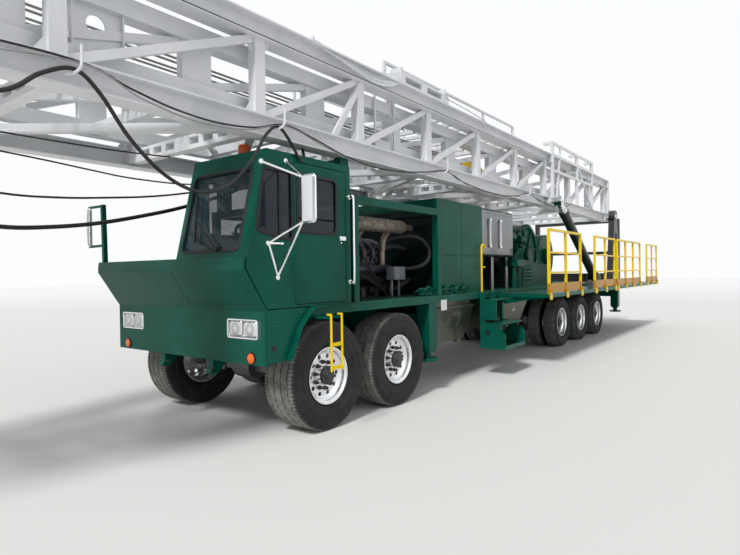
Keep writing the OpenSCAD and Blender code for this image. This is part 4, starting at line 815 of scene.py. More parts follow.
# %% Rims of the twin wheels
def without_tyre(node, centre):
    """Shape of the faces of a wheel that aren't a tyre's, by their distance from the axle."""
    mesh = nodes[node].data
    points, corners = read(mesh.vertices, "co"), read(mesh.loops, "vertex_index", int)
    away = np.hypot(points[:, 0] - centre[0], points[:, 2] - centre[2])[corners]
    tyre_face = (away.max(1) > BEAD + 0.0175) | (np.abs(away - BEAD - 0.0003) < 1e-4).all(1)
    used, faces = np.unique(corners[~tyre_face], return_inverse=True)
    points, joined = np.unique(np.round(points[used], 5), axis=0, return_inverse=True)
    faces = joined.reshape(-1)[faces.reshape(-1, 3)]
    return Shape().add(points, [faces[(faces != np.roll(faces, 1, 1)).all(1)]])


for axle in "345":
    for side in "lr":
        rims = without_tyre(f"wheel_{axle}{side}", at(AXLES[axle], 0, REAR_R))
        thing = piece(f"twin_rims_{axle}{side}", rims, aluminium, f"twin_wheel_{axle}{side}")
        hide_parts(f"wheel_{axle}{side}")


def nut():
    """Capped wheel nut on the left side: a round collar, a six-sided body and a domed cap, each a
    profile turned about the axle's direction."""
    return solid(
        lathe([(0.0245, -0.004), (0.0245, 0.005), (0.019, 0.009)], segments=20),
        lathe([(0.02, 0.004), (0.0205, 0.026), (0.0185, 0.03)], segments=6),
        lathe([(0.0165, 0.028), (0.016, 0.042), (0.011, 0.049), (0.004, 0.051)], segments=16))


def circle(radius, angle):
    """Places on a circle about the axle's direction."""
    return radius * np.stack([np.cos(angle), 0 * angle, np.sin(angle)], -1)


NUTS = 10  # on each hub


def hub_trim(x, radius, face, cap):
    """The nuts on a 143 mm circle at the disc's face, and the black cap and rings of the hub; cap
    is how far out the hub's own cap reaches."""
    centre = at(x, 0, radius)
    angle = np.arange(NUTS) * 2 * np.pi / NUTS + 0.2
    shape = Shape().scatter(nut(), centre + circle(0.143, angle) + (0, face, 0))
    shape.solid(lathe([(0.098, cap - 0.035), (0.098, cap - 0.006), (0.094, cap + 0.001),
                       (0.07, cap + 0.004), (0.066, cap + 0.01), (0.046, cap + 0.012),
                       (0.042, cap + 0.022), (0.012, cap + 0.026)], centre, segments=40))
    head = solid(lathe([(0.008, -0.001), (0.008, 0.007), (0.006, 0.009)], segments=6))
    return shape.scatter(head, centre + circle(0.083, angle[::2]) + (0, cap + 0.002, 0))


hub_black = enamel("hub_black", (0.01, 0.01, 0.012), (0.02, 0.02, 0.02), dust=0.25, rough=0.35)
REAR_FACE, REAR_CAP = 0.9655, 1.1925  # where the twin wheels' disc and their hub's cap lie in Y
for axle, x in AXLES.items():
    front = axle in "12"
    face, cap = (FRONT_Y + 0.104, FRONT_Y + 0.175) if front else (REAR_FACE, REAR_CAP)
    twins(f"hub_trim_{axle}*", hub_trim(x, FRONT_R if front else REAR_R, face, cap), hub_black,
          f"{'front' if front else 'twin'}_wheel_{axle}*")
print("wheel nuts:", NUTS * 2 * len(AXLES))
tell()

# %% [markdown]
# ## Frames that follow a window
#
# Window rubbers, lamp bezels and mirror tubes are all one thing: a small profile carried round a
# closed outline with soft corners. Rounding the outline in two dimensions first, and only then
# setting it into its plane, lets one function serve them all.

# %% Closed frames
def rounded(corners, radius, steps=5):
    """Closed outline with soft corners; two corners stand for the rectangle between them. At each
    corner the curve starts and ends a radius away and is the quadratic through the corner:
    (1-t)^2 start + 2t(1-t) corner + t^2 end."""
    if len(corners) == 2:
        (left, low), (right, high) = corners
        corners = [(left, low), (right, low), (right, high), (left, high)]
    corners = np.asarray(corners, float)
    back = unit(np.roll(corners, 1, 0) - corners) * radius
    ahead = unit(np.roll(corners, -1, 0) - corners) * radius
    t = np.linspace(0, 1, steps)[:, None, None]
    bend = (1 - t) ** 2 * (corners + back) + 2 * t * (1 - t) * corners + t ** 2 * (corners + ahead)
    return bend.swapaxes(0, 1).reshape(-1, 2)


def hoop(profile, path, normal):
    """Table of a profile carried round a closed path in a plane: side = normal x forward, and the
    profile's second number is the height along the normal."""
    forward = unit(np.roll(path, -1, 0) - np.roll(path, 1, 0))
    side = unit(np.cross(np.broadcast_to(normal, forward.shape), forward))
    across, high = profile[:, :1], profile[:, 1:]
    return path[:, None] + side[:, None] * across + np.asarray(normal, float) * high


def on_side(outline, y):
    """Sets an outline of (x, z) pairs on a wall at y."""
    x, z = np.transpose(outline)
    return at(np.stack([x, np.full(len(x), float(y)), z], -1))


def on_front(outline, x):
    """Sets an outline of (y, z) pairs on a wall at x, or at x as a function of z."""
    y, z = np.transpose(outline)
    return at(np.stack([x(z) if callable(x) else np.full(len(y), float(x)), y, z], -1))


LEAN = 0.2393  # metres by which the windscreen leans back per metre of height


def screen(z):
    """Where the slanted windscreen's wall lies at height z."""
    return 1.118 - (z - 1.76) * LEAN


def bulge(u, v):
    """Shallow dome over the square from -1 to 1: (1 - u^4)(1 - v^4)."""
    return (1 - u ** 4) * (1 - v ** 4)


print("frame helpers ready")

# %% [markdown]
# ## Lamps
#
# Each head lamp is a bright double bezel with two square lenses, sunk into the nose. Below it
# sits a round amber lamp. The lenses are shallow domes over a square: the bulge at (u, v) is
# (1 - u^4)(1 - v^4), which stays flat in the middle and drops at the rim as cast glass does.

# %% Head lamps and side lamps
def dome(low, high, x, depth, steps=9):
    """Lens over a rectangle of (y, z) at x, as deep as that in its middle."""
    u, v = np.meshgrid(np.linspace(-1, 1, steps), np.linspace(-1, 1, steps))
    y = (low[0] + high[0]) / 2 + u * (high[0] - low[0]) / 2
    z = (low[1] + high[1]) / 2 + v * (high[1] - low[1]) / 2
    return np.stack([AXLE + x + depth * bulge(u, v), y, z], -1)


FORWARD = (1, 0, 0)
bezels, lenses, dark, ambers = Shape(), Shape(), Shape(), Shape()
edge = np.array([(-0.004, 0.0), (0.004, 0.0), (0.0035, 0.008), (0.0, 0.011), (-0.0035, 0.008)])
for low, high in (((0.778, 1.064), (0.972, 1.208)), ((0.988, 1.064), (1.182, 1.208))):
    bezels.closed(hoop(edge, on_front(rounded([low, high], 0.018), 0.903), FORWARD))
    lenses.grid(dome(np.add(low, 0.005), np.subtract(high, 0.005), 0.9045, 0.009))
rim = np.array([(-0.008, 0.0), (0.008, 0.0), (0.007, 0.012), (-0.007, 0.012)])
outline = rounded([(0.763, 1.049), (1.197, 1.223)], 0.02)
bezels.closed(hoop(rim, on_front(outline, 0.9045), FORWARD))
dark.solid(boxes((0.9035, 0.768, 1.054), (0.9052, 1.192, 1.218)),
           lathe([(0.0525, -0.002), (0.064, 0.0), (0.063, 0.009), (0.057, 0.013),
                  (0.0525, 0.011)], at(0.908, 1.1, 0.862), FORWARD, 32))
ambers.solid(lathe([(0.0515, 0.0), (0.05, 0.008), (0.042, 0.015), (0.026, 0.02),
                    (0.008, 0.0225)], at(0.9095, 1.1, 0.862), FORWARD, 32))
beacon = solid(lathe([(0.0785, 0.0), (0.0785, 0.02), (0.07, 0.026), (0.064, 0.03),
                      (0.064, 0.1), (0.058, 0.122), (0.04, 0.134), (0.012, 0.138)],
                     at(0.7, 0.8, 2.8305), (0, 0, 1), 40))
twins("head_lamp_bezels_*", bezels, chrome)
twins("head_lamp_lenses_*", lenses, head_lens)
twins("side_lamp_rim_*", dark, gasket)
twins("side_lamp_glass_*", ambers, lens)
piece("roof_beacon", beacon, lens)
tell()

# %% [markdown]
# ## Windows, hinge, handle and mud flange
#
# The panes are held by black rubber whose lip stands a little proud of the sheet. The door hangs
# on a long piano hinge: a rod with knuckles of 60 mm, alternately on the door and on the post;
# here the knuckles all ride the door and the leaf rides the carrier.
# A flange stands out from the nose over the wheel and catches the light.

# %% Window rubbers and hinge
lip = np.array([(-0.016, -0.002), (0.016, -0.002), (0.014, 0.007), (0.004, 0.011),
                (-0.006, 0.009), (-0.014, 0.004)])
turned_lip = lip[::-1] * (-1, 1)
lean = unit(np.array([1.0, 0.0, LEAN]))
quarter = [(0.54, 1.98), (1.0, 2.06), (0.905, 2.65), (0.54, 2.65)]
seals = Shape().closed(
    hoop(lip, on_front(rounded([(0.27, 1.88), (1.16, 2.66)], 0.06), screen), lean),
    hoop(turned_lip, on_side(rounded(quarter, 0.06), 1.3), (0, 1, 0)),
    hoop(lip, on_side(rounded([(-0.06, 2.08), (0.72, 2.65)], 0.06), 0.2), (0, -1, 0)),
    hoop(lip, on_front(rounded([(0.4, 2.1), (1.1, 2.62)], 0.06), -0.35), (-1, 0, 0)))
seals.solid(boxes((0.69, 1.274, 2.02), (0.71, 1.298, 2.64)))
piece("window_rubbers", seals, gasket)
opening = on_side(rounded([(-0.12, 2.07), (0.47, 2.64)], 0.07), 1.3)
door_rubber = Shape().closed(hoop(turned_lip, opening, (0, 1, 0)))
door_rubber.solid(boxes((-0.1, 1.272, 2.205), (0.45, 1.286, 2.219)))
piece("door_rubber", door_rubber, gasket, "door")

steps = np.arange(1.45, 2.7, 0.0625)
knuckle = solid(lathe([(0.0085, -0.028), (0.0085, 0.028)], 0, (0, 0, 1), 14))
knuckles = Shape().scatter(knuckle, [at(0.51, 1.303, z) for z in steps])
piece("hinge_knuckles", knuckles, green, "door")
stud = solid(lathe([(0.006, 0.0), (0.0055, 0.003), (0.002, 0.0045)], segments=10))
leaf = solid(boxes((0.5165, 1.299, 1.42), (0.548, 1.303, 2.72)))
piece("hinge_leaf", leaf.scatter(stud, [at(0.534, 1.3025, z) for z in steps]), green, bevel=0.001)
tell()

# %% Handle, flange and wiper
handle = solid(
    boxes((-0.242, 1.2995, 2.008), (-0.138, 1.327, 2.052)),
    sweep(slab(0.016, 0.012), [(-0.225, 1.322, 2.03), (-0.205, 1.348, 2.03),
                               (-0.165, 1.352, 2.026), (-0.12, 1.348, 2.018)], steps=5),
    lathe([(0.011, 0), (0.01, 0.005), (0.003, 0.006)], at(-0.19, 1.3, 1.985), segments=20))
piece("door_handle", handle, chrome, "door", bevel=0.002)
flange = solid(
    sweep(slab(0.006, 0.076), [(0.285, 1.33, 1.327), (0.372, 1.33, 1.246), (0.482, 1.33, 1.13),
                               (0.56, 1.33, 0.975), (0.645, 1.33, 0.825)], (0, 1, 0)),
    boxes((-0.35, 1.2995, 1.316), (0.29, 1.366, 1.3225)))
twins("mud_flange_*", flange, green)
prow = [(0.892, 0.822), (0.652, 0.822), (0.497, 1.122), (0.335, 1.29), (0.335, 1.318),
        (0.892, 1.318)]
twins("nose_tread_plate_*", solid(np.stack([on_side(prow, y) for y in (1.2935, 1.2985)])),
      green_plate)
# painted shade: a dark disc stands for the shaded opening in the nose's side plate
hole = lathe([(0.03, -0.0005), (0.03, 0.0012)], at(0.8, 1.2985, 0.955), segments=24)
twins("nose_hole_*", solid(hole), gasket)

blade = [(screen(z) + 0.02, y, z) for y, z in ((0.5, 1.98), (0.44, 2.22), (0.4, 2.46))]
arm = [(screen(z) + 0.034, y, z) for y, z in ((0.86, 1.9), (0.66, 2.05), (0.44, 2.24))]
wiper = solid(sweep(slab(0.012, 0.02), blade, FORWARD, 4), sweep(ring(0.006, 8), arm, FORWARD, 4),
              lathe([(0.022, -0.03), (0.022, 0.01), (0.014, 0.018)],
                    at(screen(1.9) + 0.024, 0.86, 1.9), lean, 16))
piece("windscreen_wiper", wiper, gasket)
tell()

# %% [markdown]
# ## Mirrors
#
# Each mirror is a deep tray held in a loop of chrome tube, with a triangle of struts below on the
# near side. The glass looks back along the rig.

# %% Mirrors and their tubes
UP = np.array([0, 0, 1.0])


def tray(centre, turn, high, wide=0.132, deep=0.05):
    """A mirror's tray and its glass, turned about its upright middle. The front is a shallow dome,
    and the rim runs straight back."""
    u, v = np.meshgrid(np.linspace(-1, 1, 9), np.linspace(-1, 1, 9))
    along = np.array([math.cos(turn), math.sin(turn), 0])
    across = np.array([-math.sin(turn), math.cos(turn), 0])
    flat = centre + across * (wide / 2) * u[..., None] + UP * (high / 2) * v[..., None]
    front = flat + along * (0.01 * bulge(u, v) + deep / 2)[..., None]
    rim = np.concatenate([flat[0], flat[1:, -1], flat[-1, -2::-1], flat[-2:0:-1, 0]])
    glass = (flat - along * (deep / 2 - 0.003))[:, ::-1]
    return front, np.stack([rim - along * deep / 2, rim + along * deep / 2]), glass, across


trays, glasses, tubes = Shape(), Shape(), Shape()
for centre, turn, height in ((at(0.65, 1.63, 2.35), 0, 0.415),
                             (at(1.1, -1.6, 2.25), -25, 0.43)):
    front, rim, back, across = tray(centre, math.radians(turn), height)
    trays.grid(front).grid(rim, around=True)
    glasses.grid(back)
    wide, high = 0.082, height / 2 + 0.012
    outline = rounded([(-wide, -high), (wide, high)], 0.04)
    path = centre + outline[:, :1] * across + outline[:, 1:] * UP
    tubes.closed(hoop(ring(0.0105, 10), path, np.cross(across, UP)))
low, top = (0.65, 1.545, 2.14), (0.65, 1.545, 2.56)
struts = [(low, (0.86, 1.3, 1.945)), (low, (0.745, 1.3, 1.625)),
          ((0.86, 1.312, 1.945), (0.7, 1.335, 1.945)),
          ((0.86, 1.308, 1.945), (0.745, 1.308, 1.625)),
          ((0.93, 1.302, 2.695), top), ((0.62, 1.302, 2.745), top)]
tubes.solid(bars(struts, 0.011))
RAIL = -0.33  # where the grab rail stands behind the door
feet = [(0.86, 1.2995, 1.945), (0.745, 1.2995, 1.625), (0.93, 1.2995, 2.695), (0.62, 1.2995, 2.745),
        (RAIL, 1.2995, 1.56), (RAIL, 1.2995, 2.49)]
foot = solid(lathe([(0.026, 0.0), (0.024, 0.008), (0.012, 0.012)], segments=16))
tubes.scatter(foot, at(feet))
tubes.solid(sweep(ring(0.014, 12), [
    (RAIL, 1.301, 1.56), (RAIL, 1.335, 1.555), (RAIL, 1.36, 1.59), (RAIL, 1.362, 2.05),
    (RAIL, 1.36, 2.46), (RAIL, 1.335, 2.495), (RAIL, 1.301, 2.49)], FORWARD))
silver = Finish("mirror_glass", Metallic=1.0)
silver.wear(Base_Color=silver.blend(silver.noise(5).step(0.4, 0.8) * 0.2, (0.8, 0.84, 0.87),
                                    (0.5, 0.5, 0.48)),
            Roughness=silver.noise(30) * 0.06)
post = solid(carry(slab(0.05, 0.05), at([(1.1, -1.245, 1.812), (1.1, -1.255, 2.15),
                                         (1.1, -1.27, 2.5)]), (0, 1, 0)))
for heights in ((2.485, 2.487, 2.49), (2.02, 2.018, 2.016)):
    bracket = [(1.1, y, z) for y, z in zip((-1.26, -1.44, -1.62), heights)]
    post.solid(carry(slab(0.02, 0.03), at(bracket)))
for thing in (piece("mirror_tubes", tubes, chrome),
              piece("mirror_trays", trays, white, slot="chrome_trim"),
              piece("mirror_glasses", glasses, silver.material),
              piece("far_mirror_post", post, green, bevel=0.005)):
    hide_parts("mirrors")
tell()

# %% [markdown]
# ## Exhaust and engine plumbing
#
# Under the roof of the engine's room lies a silencer in a wrapped heat blanket, fed by pipes from
# both manifolds. The engine itself is a solid block with heads and covers. What makes it look
# like an engine are the pipes: six runners curve over each bank to the air trunk, hoses cross to
# the cooler, and a harness of thin wires droops along the side.

# %% Exhaust
def wrapped(name):
    """A heat blanket: pale dirty cloth wound in bands, each band a ridge 60 mm wide."""
    cloth = Finish(name, Metallic=0.55)
    band = (cloth.axes()[0] * 105).maths("SINE") * 0.5 + 0.5
    dirt = cloth.noise(13, 6, 0.6).step(0.35, 0.75)
    return cloth.wear(
        Base_Color=cloth.blend(dirt * 0.8, (0.29, 0.25, 0.2), (0.08, 0.06, 0.045)),
        Roughness=dirt * 0.3 + 0.42,
        Normal=cloth.relief(band + cloth.noise(70) * 0.4, 0.004, 0.8))


blanket = wrapped("heat_blanket")
middle = at(-1.62, 0.8, 2.29)
silencer = solid(lathe([(0.045, -0.7), (0.045, -0.56), (0.082, -0.48), (0.09, -0.45),
                        (0.09, 0.45), (0.082, 0.48), (0.05, 0.56), (0.05, 1.06)],
                       middle, FORWARD, 32))
for shift in (-0.42, 0.0, 0.42):
    silencer.solid(lathe([(0.088, -0.016), (0.096, -0.014), (0.096, 0.014), (0.088, 0.016)],
                         middle + (shift, 0, 0), FORWARD, 32))
for x in (-1.3, -1.9):
    silencer.solid(sweep(ring(0.042, 16), [(x, 0.595, 1.765), (x, 0.6, 1.95), (x, 0.63, 2.12),
                                           (x, 0.72, 2.235), (x, 0.79, 2.275)], FORWARD))
for y, z, far_x in ((0.64, 2.12, -1.12), (0.68, 2.36, -1.02), (0.9, 2.2, -1.05)):
    silencer.solid(sweep(ring(0.038, 16), [
        (-0.5, y, z), (-0.75, y, z), (-0.93, y, z), (-1.03, 0.5 * y + 0.4, 0.5 * z + 1.145),
        (far_x, 0.8, 2.285)], (0, 0.3, 1)))
for thing in twins("exhaust_pipes_*", silencer, blanket):
    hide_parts("exhaust")
tell()

# %% Engine plumbing
runners, hoses, wires = Shape(), Shape(), Shape()
for x in np.arange(-2.005, -0.9, 0.2):
    runners.solid(sweep(ring(0.044, 14), [(x, 0.47, 1.8), (x, 0.505, 1.93), (x, 0.44, 2.05),
                                          (x, 0.28, 2.105), (x, 0.1, 2.1)], FORWARD, 5),
                  lathe([(0.058, -0.012), (0.058, 0.012)], at(x, 0.47, 1.812), (0, 0, 1), 14))
for x, y, z, size in ((-1.25, 0.62, 1.46, 0.07), (-0.97, 0.6, 1.72, 0.085),
                      (-1.74, 0.6, 1.4, 0.06), (-2.02, 0.56, 1.58, 0.075)):
    runners.solid(lathe([(size * 0.5, -0.1), (size, -0.085), (size, 0.06), (size * 0.8, 0.075),
                         (size * 0.8, 0.1), (size * 0.35, 0.105)], at(x, y - 0.11, z), segments=28))
for radius, knots in (
        (0.03, [(-1.75, 0.42, 1.93), (-1.98, 0.72, 2.13), (-2.18, 0.98, 2.15),
                (-2.3, 1.1, 2.02), (-2.29, 1.13, 1.86), (-2.17, 1.06, 1.74),
                (-2.03, 0.8, 1.69), (-1.98, 0.54, 1.68)]),
        (0.045, [(-2.02, 0.35, 1.9), (-2.16, 0.52, 2.02), (-2.3, 0.62, 2.02), (-2.398, 0.66, 2.0)]),
        (0.045, [(-2.02, 0.38, 1.45), (-2.16, 0.6, 1.42), (-2.3, 0.7, 1.5), (-2.398, 0.72, 1.55)]),
        (0.028, [(-0.86, 0.6, 1.66), (-0.74, 0.78, 1.55), (-0.7, 0.86, 1.44),
                 (-0.72, 0.88, 1.335)]),
        (0.026, [(-1.02, 0.52, 1.92), (-0.8, 0.74, 2.02), (-0.6, 0.82, 1.9), (-0.5, 0.84, 1.7)])):
    hoses.solid(sweep(ring(radius, 14), knots, (0.2, 0.3, 1), 7))
for i in range(9):
    drop = 0.1 + 0.035 * i
    wires.solid(sweep(ring(0.006 + 0.0015 * (i % 3), 7), [
        (-0.9 - 0.07 * i, 0.5 + 0.012 * i, 1.79 + 0.012 * i),
        (-1.15 - 0.06 * i, 0.665 + 0.008 * i, 1.72 - drop * 0.5),
        (-1.45 - 0.05 * i, 0.69 + 0.007 * i, 1.7 - drop),
        (-1.78 - 0.02 * i, 0.675 + 0.006 * i, 1.66 - drop * 0.6),
        (-2.06, 0.55, 1.62 - 0.03 * i)], (0.1, 0.4, 1)))
twins("intake_runners_*", runners, engine_paint)
twins("coolant_hoses_*", hoses, hose_black)
twins("wire_harness_*", wires, gasket)
control = solid(boxes([(-2.06, 0.74, 1.555)], [(-1.8, 0.88, 1.735)]),
                boxes([(-2.03, 0.78, 1.331), (-1.86, 0.78, 1.331)],
                      [(-2.0, 0.81, 1.557), (-1.83, 0.81, 1.557)]),
                boxes((-2.045, 0.879, 1.58), (-1.94, 0.888, 1.715)))
grey_box = moulded("grey_control_box", (0.16, 0.17, 0.19), 0.4)
piece("control_box", control, grey_box, bevel=0.006)
tell()

# %% [markdown]
# ## Hooks, net and duct of the mast
#
# A hook for the hoses is a round bar bent twice: out from the foot of the post and then up. The
# net beside the board's box is chain-link. It is drawn as two families of thin bars that cross
# over one ruled surface, the straight lines between an upper and a lower edge.

# %% Hooks and net
hooks = Shape()
for x in (2.6, 0.74, -2.36, -5.42):
    hooks.solid(sweep(ring(0.0105, 12), [
        (x, 1.246, 3.034), (x, 1.3, 3.026), (x - 0.01, 1.35, 3.03), (x - 0.03, 1.382, 3.062),
        (x - 0.035, 1.388, 3.12), (x - 0.035, 1.388, 3.215)], FORWARD))
piece("hose_hooks", hooks, white, "mast")


def netting(upper, lower, cells, thick):
    """Two families of bars over the ruled surface (1 - t) lower + t upper. In the first family t
    rises with the place along the edges, in the second it falls."""
    upper, lower = curve(upper, 12), curve(lower, 12)
    along = np.linspace(0, 1, len(upper))
    starts = np.arange(-1, cells) / cells
    t = np.linspace(0, 1, 4)
    net = Shape()
    for slope in (1, -1):
        share = np.clip(starts[:, None] + (t if slope > 0 else 1 - t) * 2 / cells, 0, 1)
        below, above = (np.stack([np.interp(share, along, edge[:, i]) for i in range(3)], -1)
                        for edge in (lower, upper))
        path = (1 - t[:, None]) * below + t[:, None] * above
        path = path[(share[:, -1] - share[:, 0]) * slope > 0.6 / cells]
        net.solid(carry(slab(thick, thick), path + (0, slope * thick * 0.4, 0), (0, 1, 0)))
    return net


stops = (0.117, -0.231, -0.562, -0.922, -1.225, -1.478)
upper = [(x, 1.215, z) for x, z in zip(stops, (4.1, 4.082, 4.07, 4.078, 4.115, 4.2))]
lower = list(zip(stops, (1.235, 1.25, 1.254, 1.254, 1.254, 1.24),
                 (4.06, 4.0, 3.945, 3.905, 3.955, 4.06)))
net = netting(upper, lower, 46, 0.006)  # cells of about 35 mm
for thick, line in ((0.006, upper), (0.005, lower)):
    net.solid(sweep(ring(thick, 8), line, (0, 1, 0), 8))
net.solid(bars([((0.117, 1.2, 4.05), (0.117, 1.215, 4.13))], 0.018))
piece("board_net", net, white, "mast")

panel = netting(*([(x, 1.045, z) for x in (-1.19, -1.38, -1.57)] for z in (3.7, 3.38)), 9, 0.006)
for low in (3.38, 3.45, 3.52, 3.59, 3.66):
    panel.solid(bars([((-1.18, 1.045, low), (-1.58, 1.045, low + 0.03))], 0.004, 6))
panel.solid(boxes([(-1.6, 1.036, 3.16), (-1.185, 1.036, 3.16)],
                  [(-1.575, 1.054, 3.87), (-1.16, 1.054, 3.87)]))
piece("mesh_panel", panel, white, "mast")
tell()

# %% Duct and stays
duct = solid(sweep(ring(0.062, 24), [(0.4, 0.7, 2.9), (0.2, 0.74, 2.905),
                                     (-0.1, 0.76, 2.905), (-0.28, 0.78, 2.9)], steps=12),
             boxes([(0.24, 0.66, 2.829), (-0.2, 0.69, 2.829)],
                   [(0.3, 0.8, 2.85), (-0.14, 0.83, 2.85)]))
piece("roof_duct", duct, white)
stays = Shape()
for y, z, far in ((1.19, 4.185, 4.125), (1.1, 4.17, 4.115), (1.16, 4.11, 4.1)):
    stays.solid(sweep(ring(0.006, 8), [(-2.61, y, z), (-3.8, y, (z + far) / 2 - 0.02),
                                       (-4.72, 1.05, far), (-5.02, 0.95, far + 0.01)], (0, 1, 0)))
piece("board_stays", stays, wire_rope, "mast")
tell()

# %% [markdown]
# ## What lies on the decks
#
# Chain binders lie in a heap on the walkway beside the engine, painted over with the deck. A link
# is a ring stretched along its length. About a hundred of them follow wavy lines, each turned a
# quarter against the one before, so they read as chain. On the tank stand two white level tubes,
# and two tool boxes have a round latch.

# %% Chain
def link(long, wide, thick):
    """One link: a small circle carried round a ring that is stretched along X."""
    t = np.arange(10) * 2 * np.pi / 10
    path = np.stack([long / 2 * np.cos(t), wide / 2 * np.sin(t), 0 * t], -1)
    return Shape().closed(hoop(ring(thick / 2, 5), path, UP))


def chain_along(shape, path, pitch, small):
    """Sets links along a path: each one's X follows the path, and every second one is turned a
    quarter about it. Gives their number."""
    away = np.concatenate([[0], np.cumsum(np.linalg.norm(np.diff(path, axis=0), axis=1))])
    stops = np.arange(pitch / 2, away[-1], pitch)
    place, after, before = (
        np.stack([np.interp(stops + step, away, path[:, i]) for i in range(3)], -1)
        for step in (0, 0.01, -0.01))
    ahead = unit(after - before)
    side = unit(np.cross(UP, ahead))
    top = np.cross(ahead, side)
    odd = (np.arange(len(stops)) % 2 == 1)[:, None]
    first, second = np.where(odd, top, side), np.where(odd, -side, top)
    shape.scatter(small, place, np.stack([ahead, first, second], -1))
    return len(stops)


heap, small, links = Shape(), link(0.072, 0.044, 0.014), 0
s = np.linspace(0, 1, 60)
for start, end, low, high in ((1.9, 2.26, 1.08, 1.26), (2.41, 3.16, 1.222, 1.282)):
    for i in range(4):
        middle, swing = low + (high - low) * (i + 0.5) / 4, (high - low) / 7
        wave = np.stack([AXLE - start + (start - end) * s + 0.012 * np.sin(23 * s + i),
                         middle + swing * np.sin(31 * s + 1.7 * i),
                         1.352 + 0.03 * (i % 3) + 0.012 * np.sin(17 * s + 2 * i)], -1)
        links += chain_along(heap, wave, 0.058, small)
for x, y in ((-1.98, 1.2), (-2.46, 1.235), (-2.76, 1.25), (-3.02, 1.24)):
    heap.solid(sweep(slab(0.034, 0.02), [(x + 0.02, y, 1.35), (x - 0.06, y + 0.02, 1.425),
                                         (x - 0.15, y + 0.02, 1.455), (x - 0.22, y - 0.01, 1.39)],
                     steps=5),
               bars([((x, y + 0.02, 1.4), (x - 0.18, y - 0.01, 1.43))], 0.024))
piece("chain_binders", heap, green)
print("chain links:", links)
tell()

# %% Latches, plate and level tubes
face = np.array([0.0, 0.94, -0.33])
latches = solid(*(lathe(profile, at(x, 1.185, 0.96), face, segments) for x in (-3.0, -5.1)
                  for profile, segments in (
                      ([(0.05, -0.004), (0.05, 0.005), (0.044, 0.008), (0.04, 0.004)], 32),
                      ([(0.016, 0.004), (0.014, 0.012)], 12))))
piece("box_latches", latches, chrome)
plate = solid(boxes((-2.47, 1.3005, 1.115), (-2.31, 1.3035, 1.262)))
piece("blank_sign_plate", plate, white, bevel=0.001)
levels, fittings = Shape(), Shape()
for x in (-4.31, -4.73):
    levels.solid(bars([((x, 1.125, 2.085), (x, 1.125, 2.52))], 0.016, 14))
    for z in (2.075, 2.525):
        fittings.solid(lathe([(0.022, -0.02), (0.022, 0.02)], at(x, 1.125, z), (0, 0, 1), 12),
                       bars([((x, 1.098, z), (x, 1.125, z))], 0.01, 8))
piece("level_tubes", levels, white)
piece("level_tube_ends", fittings, chrome)
tell()

# %% [markdown]
# ## Pipes beside the drawworks
#
# Between the tank and the first platform stands the driller's side of the machine: a valve bank
# with a row of levers, and oil pipes that climb from the deck, bend over and go into the guards.
# All of it is painted green with the rest.

# %% Valve bank and oil pipes
CLIMBING, LYING, LEVERS = 7, 5, 5
plumbing = Shape()
for i in range(CLIMBING):
    x, y, z = -5.42 - 0.075 * i, 1.04 + 0.02 * (i % 3), 1.93 + 0.03 * i
    plumbing.solid(sweep(ring(0.013 + 0.004 * (i % 2), 10), [
        (x, y, 1.331), (x - 0.01, y + 0.01, 1.55), (x - 0.03, y, 1.8), (x - 0.12, y - 0.04, z),
        (x - 0.3, y - 0.05, 1.95 + 0.03 * i), (x - 0.48, 0.885, 1.93 + 0.028 * i)],
        (0.2, 0.9, 0.1)))
for i in range(LYING):
    y, z = 0.012 * i, 1.45 + 0.07 * i
    plumbing.solid(sweep(ring(0.012, 10), [
        (-5.5, 1.02 + y, z), (-5.85, 1.05 + y, z - 0.02), (-6.25, 1.05, z - 0.03),
        (-6.62, 0.95, z + 0.01), (-6.8, 0.895, z + 0.02)], (0, 0.2, 1)))
plumbing.solid(boxes([(-5.72, 1.0, 1.74), (-5.7, 1.04, 1.331), (-5.46, 1.04, 1.331)],
                     [(-5.38, 1.16, 1.86), (-5.66, 1.08, 1.745), (-5.42, 1.08, 1.745)]))
for i in range(LEVERS):
    x, rise = -5.41 - 0.068 * i, 0.01 * (i % 2)
    plumbing.solid(bars([((x, 1.12, 1.85), (x + 0.01, 1.17, 2.03 + rise))], 0.007, 8),
                   lathe([(0.006, -0.018), (0.017, -0.008), (0.017, 0.008), (0.006, 0.018)],
                         at(x + 0.01, 1.172, 2.045 + rise), (0, 0.3, 1), 12))
for x, z in ((-5.55, 2.3), (-6.02, 2.26)):
    plumbing.solid(lathe([(0.03, -0.13), (0.085, -0.1), (0.085, 0.1), (0.03, 0.13)],
                         at(x, 0.96, z), FORWARD, 28),
                   bars([((x, 0.95, z - 0.3), (x, 0.95, z))], 0.02))
piece("drawworks_plumbing", plumbing, green)
print("oil pipes:", CLIMBING + LYING, "levers:", LEVERS)
tell()

# %% [markdown]
# ## Cable on the drum and bolts
#
# The drilling line lies on the drum in close turns: its outline along the drum is a row of half
# circles, |cos(pi y / pitch)| of the cable's radius. Bolt heads follow the flanges of the
# drawworks and the seams of the sheet-metal panels.

# %% Drum cable and bolts
PITCH, WOUND, TURNS = 0.028, 0.385, 42  # of the cable: distance of its turns, radius, number
DRUM = (-6.45, 2.02)  # X and Z of the drum's axle
y = np.linspace(-0.59, 0.59, TURNS * 4 + 1)
profile = np.stack([WOUND + PITCH / 2 * np.abs(np.cos(np.pi * y / PITCH)), y], -1)
profile = np.vstack([[(0.3, -0.592)], profile, [(0.3, 0.592)]])
piece("drum_cable", solid(lathe(profile, at(DRUM[0], 0, DRUM[1]), segments=64)), wire_rope,
      "hoist_drum")

